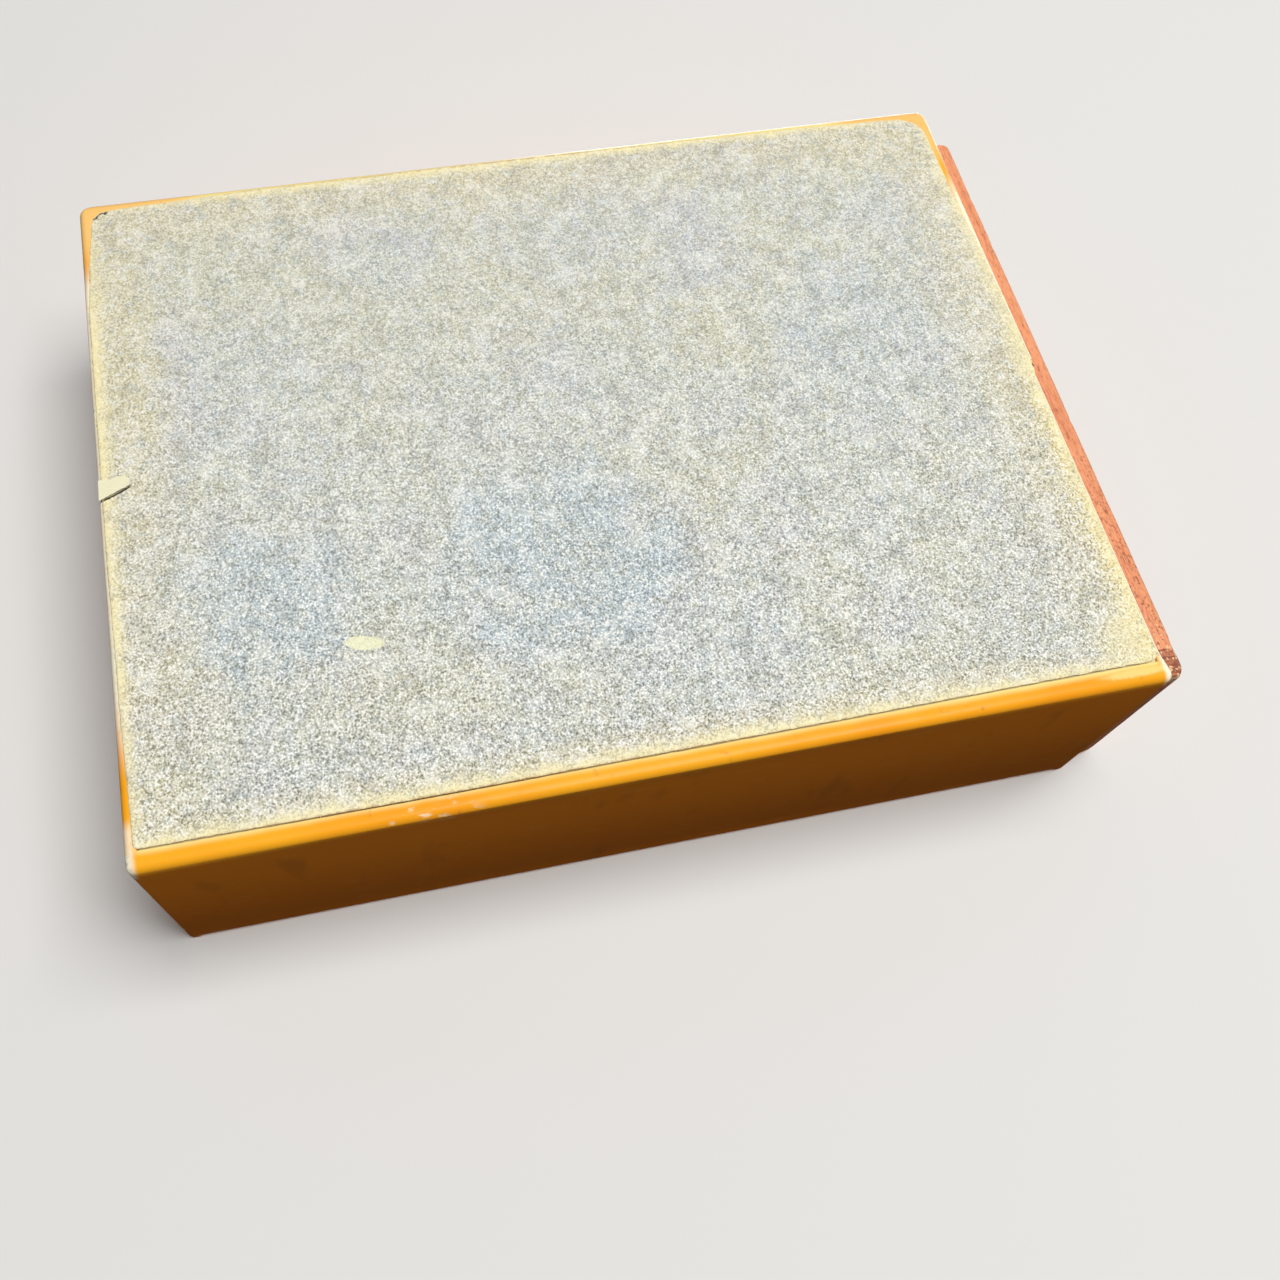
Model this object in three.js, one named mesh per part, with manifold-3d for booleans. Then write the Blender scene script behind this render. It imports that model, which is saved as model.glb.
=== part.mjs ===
// A low box on a felt base. Two halves of enamelled sheet metal wrap a wooden carcass and meet in a
// seam at the middle of each short side. A wooden lid lies between the long walls, turns down over
// the front wall as an apron, and swings on two brass butt hinges let into the back wall.
//
// Millimetres, +Z up. The origin is the middle of the felt face that the box stands on.
// -Y is the front, where the apron hangs, and +Y is the back, where the hinges are.

import * as THREE from 'three';
import { mergeVertices } from 'three/addons/utils/BufferGeometryUtils.js';
import Module from 'manifold-3d';

const wasm = await Module();
wasm.setup();

// Body
const BODY_LENGTH = 165;
const BODY_WIDTH = 127;
const BODY_HEIGHT = 44.45;

// Sheet metal
const SHEET = 0.8;
const CORNER_RADIUS = 1.5;
const LONG_ROLL_RADIUS = 2.5;
const SHORT_ROLL_RADIUS = 1.2;
const BEAD_DIAMETER = 3;
const POST_BEYOND_BEAD = 0.2;
const RIM_THICKNESS = 1.6;
const LONG_RIM_REACH = 3;
const SHORT_RIM_REACH = 1.4;
const RIM_CORNER_RADIUS = 1;
const SEAM_GAP = 0.3;
const SEAM_NOTCH_REACH = 1;

// Base
const FELT_PROUD = 0.3;
const FELT_THICKNESS = 0.8;
const BASE_CLEARANCE = 0.3;

// Wooden carcass
const SIDE_LINING = 6;
const END_LINING = 6;
const FLOOR_THICKNESS = 3.2;

// Lid
const LID_THICKNESS = 7.5;
const LID_SIDE_CLEARANCE = 0.3;
const LID_SEAT_CLEARANCE = 0.3;
const LID_BACK_OVERHANG = 2.5;
const LID_EDGE_RADIUS = 2;
const LID_CORNER_RADIUS = 2.5;

// Apron
const APRON_WIDTH = 121.6;
const APRON_THICKNESS = 6.4;
const APRON_WALL_GAP = 0.8;
const APRON_ABOVE_BASE = 7;

// Dowels between lid and apron
const DOWEL_DIAMETER = 4;
const DOWEL_IN_LID = 12;
const DOWEL_IN_APRON = 4;
const DOWEL_SPACING = 40;
const DOWEL_CLEARANCE = 0.3;
const DOWEL_CHAMFER = 0.5;

// Hinges
const HINGE_LENGTH = 22;
const HINGE_SPACING = 64;
const LEAF_THICKNESS = 0.8;
const LEAF_DEPTH = 6.3;
const KNUCKLE_DIAMETER = 3;
const KNUCKLE_BEHIND_WALL = 0.5;
const KNUCKLE_CLEARANCE = 0.3;
const KNUCKLE_COUNT = 3;
const PIN_DIAMETER = 1.4;
const PIN_CLEARANCE = 0.3;
const PIN_CHAMFER = 0.3;
const MORTISE_CLEARANCE = 0.3;

// Hinge screws
const SCREW_LENGTH = 5.5;
const SCREW_HEAD_DIAMETER = 3;
const SCREW_SHANK_DIAMETER = 1.6;
const SCREW_SPACING = 14;
const SCREW_CLEARANCE = 0.25;
const SCREW_SINK = 0.05;
const SLOT_WIDTH = 0.5;
const SLOT_DEPTH = 0.35;

// Tacks beside the seams
const TACK_HEAD_DIAMETER = 2.2;
const TACK_HEAD_HEIGHT = 0.45;
const TACK_SHANK_DIAMETER = 1;
const TACK_LENGTH = 5;
const TACK_CLEARANCE = 0.25;
const TACK_FROM_SEAM = 4;
const TACK_HEIGHT_SHARES = [0.3, 0.8];

// Facets and the overrun of every cut
const ARC_STEPS = 8;
const ROUND_SIDES = 24;
const SMALL_ROUND_SIDES = 16;
const NOTCH_SIDES = 4;
const OVERRUN = 1;

// Levels and half sizes that the pieces share
const HALF_WIDTH = BODY_WIDTH / 2;
const HALF_LENGTH = BODY_LENGTH / 2;
const BEAD_RADIUS = BEAD_DIAMETER / 2;
const CARCASS_BOTTOM = FELT_PROUD + RIM_THICKNESS;
const LID_BOTTOM = BODY_HEIGHT - LID_THICKNESS;
const WALL_TOP = LID_BOTTOM - LID_SEAT_CLEARANCE;
const CARCASS_HEIGHT = WALL_TOP - CARCASS_BOTTOM;
const CARCASS_HALF_WIDTH = HALF_WIDTH - SHEET;
const CARCASS_HALF_LENGTH = HALF_LENGTH - SHEET;
const INNER_HALF_WIDTH = CARCASS_HALF_WIDTH - SIDE_LINING;
const INNER_HALF_LENGTH = CARCASS_HALF_LENGTH - END_LINING;
const GATE_HALF_WIDTH = HALF_WIDTH - BEAD_DIAMETER - POST_BEYOND_BEAD;
const LID_HALF_WIDTH = GATE_HALF_WIDTH - LID_SIDE_CLEARANCE;
const LID_BACK = HALF_LENGTH + LID_BACK_OVERHANG;
const APRON_BACK = -HALF_LENGTH - APRON_WALL_GAP;
const APRON_FRONT = APRON_BACK - APRON_THICKNESS;
const APRON_HEIGHT = BODY_HEIGHT - APRON_ABOVE_BASE;
const DOWEL_LEVEL = LID_BOTTOM + LID_THICKNESS / 2;
const KNUCKLE_RADIUS = KNUCKLE_DIAMETER / 2;
const KNUCKLE_ROOM = KNUCKLE_RADIUS + KNUCKLE_CLEARANCE;
const AXIS_Y = HALF_LENGTH + KNUCKLE_BEHIND_WALL;
const AXIS_Z = LID_BOTTOM - LID_SEAT_CLEARANCE / 2;
const LEAF_INNER_FACE = LID_SEAT_CLEARANCE / 2;
const SCREW_ROW = -(LEAF_DEPTH + KNUCKLE_ROOM) / 2;
const SCREW_LEVEL = LEAF_INNER_FACE + SCREW_SINK;

const KNUCKLE_PITCH = HINGE_LENGTH / KNUCKLE_COUNT;

const SIDES = { left: -1, right: 1 };
const ENDS = { front: -1, back: 1 };

// Places that a piece and the holes for it share
const DOWEL_PLACES = [-DOWEL_SPACING, 0, DOWEL_SPACING];
const HINGE_PLACES = { left: -HINGE_SPACING / 2, right: HINGE_SPACING / 2 };
const SCREW_PLACES = [-SCREW_SPACING / 2, SCREW_SPACING / 2];
const TACK_LEVELS = TACK_HEIGHT_SHARES.map((share) => CARCASS_BOTTOM + CARCASS_HEIGHT * share);
const TACK_PLACES = TACK_LEVELS.flatMap((level) => [[-TACK_FROM_SEAM, level], [TACK_FROM_SEAM, level]]);

// Finishes
const ENAMEL = { color: 0xe58a1c, roughness: 0.3, metalness: 0.2 };
const RED_WOOD = { color: 0xa8573a, roughness: 0.6, metalness: 0 };
const PALE_WOOD = { color: 0xb98a5a, roughness: 0.7, metalness: 0 };
const CARD = { color: 0xc9b483, roughness: 0.9, metalness: 0 };
const FELT = { color: 0x8f979c, roughness: 1, metalness: 0 };
const BRASS = { color: 0xb08d4a, roughness: 0.35, metalness: 1 };

// Solids

function toSolid(geometry) {
  const bare = geometry.index ? geometry.toNonIndexed() : geometry.clone();
  bare.deleteAttribute('normal');
  bare.deleteAttribute('uv');
  const merged = mergeVertices(bare);
  const vertProperties = new Float32Array(merged.attributes.position.array);
  const triVerts = new Uint32Array(merged.index.array);
  return new wasm.Manifold(new wasm.Mesh({ numProp: 3, vertProperties, triVerts }));
}

function toGeometry(solid) {
  const mesh = solid.getMesh();
  const geometry = new THREE.BufferGeometry();
  geometry.setAttribute('position', new THREE.BufferAttribute(new Float32Array(mesh.vertProperties), 3));
  geometry.setIndex(new THREE.BufferAttribute(new Uint32Array(mesh.triVerts), 1));
  geometry.computeVertexNormals();
  return geometry;
}

function block(low, high) {
  const [width, depth, height] = low.map((value, axis) => high[axis] - value);
  const centre = low.map((value, axis) => (value + high[axis]) / 2);
  return toSolid(new THREE.BoxGeometry(width, depth, height).translate(...centre));
}

// Rectangle from -width/2 to width/2 and from 0 to height, with its low and high corners rounded.
function roundedOutline(width, height, lowRadius, highRadius) {
  const half = width / 2;
  const outline = new THREE.Shape();
  outline.moveTo(-half + lowRadius, 0);
  outline.lineTo(half - lowRadius, 0);
  outline.absarc(half - lowRadius, lowRadius, lowRadius, -Math.PI / 2, 0, false);
  outline.lineTo(half, height - highRadius);
  outline.absarc(half - highRadius, height - highRadius, highRadius, 0, Math.PI / 2, false);
  outline.lineTo(-half + highRadius, height);
  outline.absarc(-half + highRadius, height - highRadius, highRadius, Math.PI / 2, Math.PI, false);
  outline.lineTo(-half, lowRadius);
  outline.absarc(-half + lowRadius, lowRadius, lowRadius, Math.PI, Math.PI * 1.5, false);
  return outline;
}

function extrude(outline, length) {
  return new THREE.ExtrudeGeometry(outline, { depth: length, bevelEnabled: false, curveSegments: ARC_STEPS });
}

// The outline lies in X and Z and is drawn out along Y, centred on the origin.
function drawnAlongY(outline, length) {
  return extrude(outline, length).rotateX(Math.PI / 2).translate(0, length / 2, 0);
}

// The outline lies in Y and Z and is drawn out along X, centred on the origin.
function drawnAlongX(outline, length) {
  return extrude(outline, length).rotateX(Math.PI / 2).rotateZ(Math.PI / 2).translate(-length / 2, 0, 0);
}

// A plan rectangle centred on the origin, drawn up along Z from the given level.
function drawnUp(width, depth, radius, level, height) {
  const plan = roundedOutline(width, depth, radius, radius);
  return extrude(plan, height).translate(0, -depth / 2, level);
}

// A round bar along Y, centred on the origin.
function barAlongY(diameter, length, sides = ROUND_SIDES) {
  return new THREE.CylinderGeometry(diameter / 2, diameter / 2, length, sides);
}

function barAlongX(diameter, length, sides = ROUND_SIDES) {
  return barAlongY(diameter, length, sides).rotateZ(Math.PI / 2);
}

// A turned solid whose profile runs from its lowest to its highest point, as [radius, level] pairs.
function turned(profile, sides = ROUND_SIDES) {
  const points = profile.map(([radius, level]) => new THREE.Vector2(radius, level));
  return new THREE.LatheGeometry(points, sides).rotateX(Math.PI / 2);
}

function joined(solids) {
  return solids.reduce((whole, next) => whole.add(next));
}

function cutAll(solid, cutters) {
  return cutters.reduce((rest, cutter) => rest.subtract(cutter), solid);
}

// Screws, tacks, pins and dowels, each in its own frame

function screwProfile(extra) {
  const head = SCREW_HEAD_DIAMETER / 2 + extra;
  const shank = SCREW_SHANK_DIAMETER / 2 + extra;
  const cone = (SCREW_HEAD_DIAMETER - SCREW_SHANK_DIAMETER) / 2;
  return [[0, -SCREW_LENGTH - extra], [shank, -SCREW_LENGTH + shank], [shank, -cone], [head, 0]];
}

function screwGeometry() {
  const screw = toSolid(turned([...screwProfile(0), [0, 0]], SMALL_ROUND_SIDES));
  const reach = SCREW_HEAD_DIAMETER / 2 + OVERRUN;
  const slot = block([-reach, -SLOT_WIDTH / 2, -SLOT_DEPTH], [reach, SLOT_WIDTH / 2, OVERRUN]);
  return toGeometry(screw.subtract(slot));
}

// The hole for a screw, its countersink drawn on past the surface.
function screwHole(x, y, z, pointing) {
  const profile = screwProfile(SCREW_CLEARANCE);
  const [headRadius] = profile[profile.length - 1];
  const hole = turned([...profile, [headRadius, OVERRUN], [0, OVERRUN]], SMALL_ROUND_SIDES);
  if (pointing < 0) hole.rotateX(Math.PI);
  return toSolid(hole.translate(x, y, z));
}

function tackGeometry() {
  const head = TACK_HEAD_DIAMETER / 2;
  const shank = TACK_SHANK_DIAMETER / 2;
  const dome = [];
  for (let step = 0; step <= ARC_STEPS; step += 1) {
    const angle = (Math.PI / 2) * (step / ARC_STEPS);
    dome.push([head * Math.cos(angle), TACK_HEAD_HEIGHT * Math.sin(angle)]);
  }
  dome[dome.length - 1][0] = 0;
  return turned([[0, -TACK_LENGTH], [shank, -TACK_LENGTH + shank], [shank, 0], ...dome], SMALL_ROUND_SIDES);
}

function pinGeometry() {
  const radius = PIN_DIAMETER / 2;
  const half = HINGE_LENGTH / 2;
  const chamfered = radius - PIN_CHAMFER;
  const profile = [
    [0, -half], [chamfered, -half], [radius, -half + PIN_CHAMFER],
    [radius, half - PIN_CHAMFER], [chamfered, half], [0, half],
  ];
  return turned(profile, SMALL_ROUND_SIDES).rotateY(Math.PI / 2);
}

function dowelGeometry() {
  const radius = DOWEL_DIAMETER / 2;
  const chamfered = radius - DOWEL_CHAMFER;
  const profile = [
    [0, -DOWEL_IN_LID], [chamfered, -DOWEL_IN_LID], [radius, -DOWEL_IN_LID + DOWEL_CHAMFER],
    [radius, DOWEL_IN_APRON - DOWEL_CHAMFER], [chamfered, DOWEL_IN_APRON], [0, DOWEL_IN_APRON],
  ];
  return turned(profile, SMALL_ROUND_SIDES).rotateX(Math.PI / 2);
}

function dowelHole(x) {
  const length = DOWEL_IN_LID + DOWEL_IN_APRON + 2 * DOWEL_CLEARANCE;
  const middle = APRON_BACK + (DOWEL_IN_LID - DOWEL_IN_APRON) / 2;
  const hole = barAlongY(DOWEL_DIAMETER + 2 * DOWEL_CLEARANCE, length, SMALL_ROUND_SIDES);
  return toSolid(hole.translate(x, middle, DOWEL_LEVEL));
}

// Hinges, with the pin along X through the origin and the leaves reaching towards -Y

function knuckleSpan(index) {
  const start = -HINGE_LENGTH / 2 + index * KNUCKLE_PITCH;
  const startTrim = index === 0 ? 0 : KNUCKLE_CLEARANCE / 2;
  const endTrim = index === KNUCKLE_COUNT - 1 ? 0 : KNUCKLE_CLEARANCE / 2;
  return [start + startTrim, start + KNUCKLE_PITCH - endTrim];
}

// A leaf below the joint (pointing -1) or above it (pointing 1), with the knuckles of the given indices.
function leafGeometry(pointing, knuckles) {
  const levels = [LEAF_INNER_FACE * pointing, (LEAF_INNER_FACE + LEAF_THICKNESS) * pointing];
  const [low, high] = levels.sort((a, b) => a - b);
  const half = HINGE_LENGTH / 2;
  const solids = [block([-half, -LEAF_DEPTH, low], [half, -KNUCKLE_ROOM, high])];
  for (const index of knuckles) {
    const [start, end] = knuckleSpan(index);
    const barrel = barAlongX(KNUCKLE_DIAMETER, end - start).translate((start + end) / 2, 0, 0);
    const neck = block([start, -KNUCKLE_ROOM - LEAF_THICKNESS, low], [end, -KNUCKLE_RADIUS / 2, high]);
    solids.push(neck, toSolid(barrel));
  }
  const bore = toSolid(barAlongX(PIN_DIAMETER + 2 * PIN_CLEARANCE, HINGE_LENGTH + OVERRUN));
  const holes = SCREW_PLACES.map((x) => screwHole(x, SCREW_ROW, SCREW_LEVEL * pointing, -pointing));
  return toGeometry(cutAll(joined(solids).subtract(bore), holes));
}

// Recess for a leaf and room for the knuckles, in the wall (pointing -1) or the lid (pointing 1).
function hingeRecess(x, pointing) {
  const half = HINGE_LENGTH / 2 + MORTISE_CLEARANCE;
  const back = AXIS_Y + KNUCKLE_ROOM + LID_BACK_OVERHANG;
  const room = (front, reach) => {
    const levels = [reach, -OVERRUN].map((level) => AXIS_Z + level * pointing);
    return block([x - half, front, Math.min(...levels)], [x + half, back, Math.max(...levels)]);
  };
  const leafRoom = room(AXIS_Y - LEAF_DEPTH - MORTISE_CLEARANCE, LEAF_INNER_FACE + LEAF_THICKNESS);
  return leafRoom.add(room(AXIS_Y - KNUCKLE_ROOM, KNUCKLE_ROOM));
}

function hingeRecesses(pointing) {
  return Object.values(HINGE_PLACES).map((x) => hingeRecess(x, pointing));
}

function hingeScrewHoles(pointing) {
  const level = AXIS_Z + SCREW_LEVEL * pointing;
  return Object.values(HINGE_PLACES).flatMap((x) =>
    SCREW_PLACES.map((offset) => screwHole(x + offset, AXIS_Y + SCREW_ROW, level, -pointing)));
}

// Holes for the tacks of one short wall
function tackHoles(end) {
  const diameter = TACK_SHANK_DIAMETER + 2 * TACK_CLEARANCE;
  const length = TACK_LENGTH + TACK_CLEARANCE + OVERRUN;
  const middle = end * (HALF_LENGTH + OVERRUN - length / 2);
  return TACK_PLACES.map(([x, level]) =>
    toSolid(barAlongY(diameter, length, SMALL_ROUND_SIDES).translate(x, middle, level)));
}

// Sheet metal shell

function shellEnvelope() {
  const height = BODY_HEIGHT - FELT_PROUD;
  const across = roundedOutline(BODY_WIDTH, height, LONG_ROLL_RADIUS, BEAD_RADIUS);
  const along = roundedOutline(BODY_LENGTH, height, SHORT_ROLL_RADIUS, CORNER_RADIUS);
  const overLength = BODY_LENGTH + OVERRUN;
  const overWidth = BODY_WIDTH + OVERRUN;
  return toSolid(drawnAlongY(across, overLength).translate(0, 0, FELT_PROUD))
    .intersect(toSolid(drawnAlongX(along, overWidth).translate(0, 0, FELT_PROUD)))
    .intersect(toSolid(drawnUp(BODY_WIDTH, BODY_LENGTH, CORNER_RADIUS, 0, BODY_HEIGHT)));
}

// The room inside the sheet, in X and Z. It follows the inner faces of the long walls and passes round
// the beads that are rolled inward along their tops.
function cavityOutline() {
  const beadX = HALF_WIDTH - BEAD_RADIUS;
  const beadZ = BODY_HEIGHT - BEAD_RADIUS;
  const meet = Math.acos((CARCASS_HALF_WIDTH - beadX) / BEAD_RADIUS);
  const quarter = Math.PI / 2;
  const outline = new THREE.Shape();
  outline.moveTo(-CARCASS_HALF_WIDTH, CARCASS_BOTTOM);
  outline.lineTo(CARCASS_HALF_WIDTH, CARCASS_BOTTOM);
  outline.absarc(beadX, beadZ, BEAD_RADIUS, -meet, -quarter, true);
  outline.absarc(beadX, beadZ, BEAD_RADIUS, -quarter, -2 * quarter, true);
  outline.absarc(beadX, beadZ, BEAD_RADIUS, -2 * quarter, -3 * quarter, true);
  outline.lineTo(beadX, BODY_HEIGHT + OVERRUN);
  outline.lineTo(-beadX, BODY_HEIGHT + OVERRUN);
  outline.absarc(-beadX, beadZ, BEAD_RADIUS, quarter, 0, true);
  outline.absarc(-beadX, beadZ, BEAD_RADIUS, 0, -quarter, true);
  outline.absarc(-beadX, beadZ, BEAD_RADIUS, -quarter, -2 * quarter + meet, true);
  return outline;
}

// The opening inside the base rim, or what fills it with a clearance all round.
function baseOpening(clearance, level, height) {
  const width = 2 * (HALF_WIDTH - LONG_RIM_REACH - clearance);
  const depth = 2 * (HALF_LENGTH - SHORT_RIM_REACH - clearance);
  return drawnUp(width, depth, RIM_CORNER_RADIUS, level, height);
}

// The small V notches in the base rim where the seams end.
function seamNotches() {
  return Object.values(ENDS).map((end) => {
    const notch = barAlongY(2 * SEAM_NOTCH_REACH, CARCASS_BOTTOM, NOTCH_SIDES).rotateX(Math.PI / 2);
    return toSolid(notch.translate(0, end * HALF_LENGTH, CARCASS_BOTTOM / 2));
  });
}

// The way out for the lid over each short wall, between the corner posts.
function lidGates() {
  return Object.values(ENDS).map((end) => {
    const faces = [end * (CARCASS_HALF_LENGTH - OVERRUN), end * (HALF_LENGTH + OVERRUN)];
    return block([-GATE_HALF_WIDTH, Math.min(...faces), WALL_TOP],
      [GATE_HALF_WIDTH, Math.max(...faces), BODY_HEIGHT + OVERRUN]);
  });
}

function shellSolid() {
  const cutters = [
    toSolid(drawnAlongY(cavityOutline(), 2 * CARCASS_HALF_LENGTH)),
    toSolid(baseOpening(0, -OVERRUN, CARCASS_BOTTOM + 2 * OVERRUN)),
    ...lidGates(),
    ...seamNotches(),
    ...hingeRecesses(-1),
    ...tackHoles(ENDS.front),
    ...tackHoles(ENDS.back),
  ];
  return cutAll(shellEnvelope(), cutters);
}

function shellHalfGeometry(shell, side) {
  const faces = [side * (SEAM_GAP / 2), side * (HALF_WIDTH + OVERRUN)];
  const half = block([Math.min(...faces), -HALF_LENGTH - OVERRUN, -OVERRUN],
    [Math.max(...faces), HALF_LENGTH + OVERRUN, BODY_HEIGHT + OVERRUN]);
  return toGeometry(shell.intersect(half));
}

// Wooden carcass

function sideLiningGeometry() {
  return new THREE.BoxGeometry(SIDE_LINING, 2 * CARCASS_HALF_LENGTH, CARCASS_HEIGHT);
}

function endLiningGeometry(end) {
  const inner = end * INNER_HALF_LENGTH;
  const outer = end * CARCASS_HALF_LENGTH;
  const board = block([-INNER_HALF_WIDTH, Math.min(inner, outer), CARCASS_BOTTOM],
    [INNER_HALF_WIDTH, Math.max(inner, outer), WALL_TOP]);
  const hingeCuts = end === ENDS.back ? [...hingeRecesses(-1), ...hingeScrewHoles(-1)] : [];
  return toGeometry(cutAll(board, [...tackHoles(end), ...hingeCuts]));
}

function floorGeometry() {
  return new THREE.BoxGeometry(2 * INNER_HALF_WIDTH, 2 * INNER_HALF_LENGTH, FLOOR_THICKNESS);
}

// Lid and apron

function lidBoardGeometry() {
  const side = new THREE.Shape();
  const radius = LID_EDGE_RADIUS;
  side.moveTo(APRON_BACK, LID_BOTTOM);
  side.lineTo(LID_BACK, LID_BOTTOM);
  side.lineTo(LID_BACK, BODY_HEIGHT - radius);
  side.absarc(LID_BACK - radius, BODY_HEIGHT - radius, radius, 0, Math.PI / 2, false);
  side.lineTo(APRON_BACK, BODY_HEIGHT);
  const board = toSolid(drawnAlongX(side, 2 * LID_HALF_WIDTH));
  const depth = LID_BACK - APRON_BACK + LID_CORNER_RADIUS;
  const plan = drawnUp(2 * LID_HALF_WIDTH, depth, LID_CORNER_RADIUS, 0, BODY_HEIGHT + OVERRUN);
  const rounded = toSolid(plan.translate(0, LID_BACK - depth / 2, 0));
  const cutters = [...hingeRecesses(1), ...hingeScrewHoles(1), ...DOWEL_PLACES.map(dowelHole)];
  return toGeometry(cutAll(board.intersect(rounded), cutters));
}

function apronGeometry() {
  const side = new THREE.Shape();
  const radius = LID_EDGE_RADIUS;
  side.moveTo(APRON_BACK, APRON_ABOVE_BASE);
  side.lineTo(APRON_BACK, BODY_HEIGHT);
  side.lineTo(APRON_FRONT + radius, BODY_HEIGHT);
  side.absarc(APRON_FRONT + radius, BODY_HEIGHT - radius, radius, Math.PI / 2, Math.PI, false);
  side.lineTo(APRON_FRONT, APRON_ABOVE_BASE + radius);
  side.absarc(APRON_FRONT + radius, APRON_ABOVE_BASE + radius, radius, Math.PI, Math.PI * 1.5, false);
  const board = toSolid(drawnAlongX(side, APRON_WIDTH));
  const depth = APRON_THICKNESS + LID_CORNER_RADIUS;
  const plan = drawnUp(APRON_WIDTH, depth, LID_CORNER_RADIUS, APRON_ABOVE_BASE - OVERRUN,
    APRON_HEIGHT + 2 * OVERRUN);
  const rounded = toSolid(plan.translate(0, APRON_FRONT + depth / 2, 0));
  return toGeometry(cutAll(board.intersect(rounded), DOWEL_PLACES.map(dowelHole)));
}

// Assembly

const model = new THREE.Group();

function addPart(parent, name, geometry, finish, position = [0, 0, 0]) {
  const mesh = new THREE.Mesh(geometry, new THREE.MeshStandardMaterial(finish));
  mesh.name = name;
  mesh.position.set(...position);
  parent.add(mesh);
}

function addShell() {
  const shell = shellSolid();
  for (const [name, side] of Object.entries(SIDES)) {
    addPart(model, `shell_half_${name}`, shellHalfGeometry(shell, side), ENAMEL);
  }
}

function addCarcass() {
  const middle = CARCASS_BOTTOM + CARCASS_HEIGHT / 2;
  for (const [name, side] of Object.entries(SIDES)) {
    const x = side * (INNER_HALF_WIDTH + SIDE_LINING / 2);
    addPart(model, `side_lining_${name}`, sideLiningGeometry(), PALE_WOOD, [x, 0, middle]);
  }
  for (const [name, end] of Object.entries(ENDS)) {
    addPart(model, `${name}_lining`, endLiningGeometry(end), PALE_WOOD);
  }
  addPart(model, 'floor_board', floorGeometry(), PALE_WOOD, [0, 0, CARCASS_BOTTOM + FLOOR_THICKNESS / 2]);
}

function addBase() {
  const cardThickness = CARCASS_BOTTOM - FELT_THICKNESS;
  addPart(model, 'base_felt', baseOpening(BASE_CLEARANCE, 0, FELT_THICKNESS), FELT);
  addPart(model, 'base_card', baseOpening(BASE_CLEARANCE, FELT_THICKNESS, cardThickness), CARD);
}

function addLid() {
  addPart(model, 'lid_board', lidBoardGeometry(), RED_WOOD);
  addPart(model, 'lid_apron', apronGeometry(), RED_WOOD);
  for (const [index, x] of DOWEL_PLACES.entries()) {
    addPart(model, `apron_dowel_${index + 1}`, dowelGeometry(), PALE_WOOD, [x, APRON_BACK, DOWEL_LEVEL]);
  }
}

function addHinge(name, x) {
  const hinge = new THREE.Group();
  hinge.position.set(x, AXIS_Y, AXIS_Z);
  model.add(hinge);
  addPart(hinge, `hinge_${name}_fixed_leaf`, leafGeometry(-1, [0, 2]), BRASS);
  addPart(hinge, `hinge_${name}_moving_leaf`, leafGeometry(1, [1]), BRASS);
  addPart(hinge, `hinge_${name}_pin`, pinGeometry(), BRASS);
  for (const [index, offset] of SCREW_PLACES.entries()) {
    const label = `screw_${index + 1}`;
    addPart(hinge, `hinge_${name}_fixed_${label}`, screwGeometry(), BRASS, [offset, SCREW_ROW, -SCREW_LEVEL]);
    const upper = [offset, SCREW_ROW, SCREW_LEVEL];
    addPart(hinge, `hinge_${name}_moving_${label}`, screwGeometry().rotateX(Math.PI), BRASS, upper);
  }
}

function addTacks(name, end) {
  for (const [index, [x, level]] of TACK_PLACES.entries()) {
    const tack = tackGeometry().rotateX((-end * Math.PI) / 2);
    addPart(model, `${name}_seam_tack_${index + 1}`, tack, BRASS, [x, end * HALF_LENGTH, level]);
  }
}

addShell();
addCarcass();
addBase();
addLid();
for (const [name, x] of Object.entries(HINGE_PLACES)) {
  addHinge(name, x);
}
for (const [name, end] of Object.entries(ENDS)) {
  addTacks(name, end);
}

export default model;
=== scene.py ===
"""Dressed model of a low enamelled box with a felt base and a hinged wooden lid.

The box stands on its felt base, and the camera looks at that base from below, as at a box that
was turned over. Sizes are millimetres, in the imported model's own frame, until a mesh is made.
"""
from __future__ import annotations

import logging
import math
from dataclasses import dataclass, field
from enum import Enum
from typing import Iterable, Sequence, Union

import bmesh
import bpy
from mathutils import Matrix, Vector, noise


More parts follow.
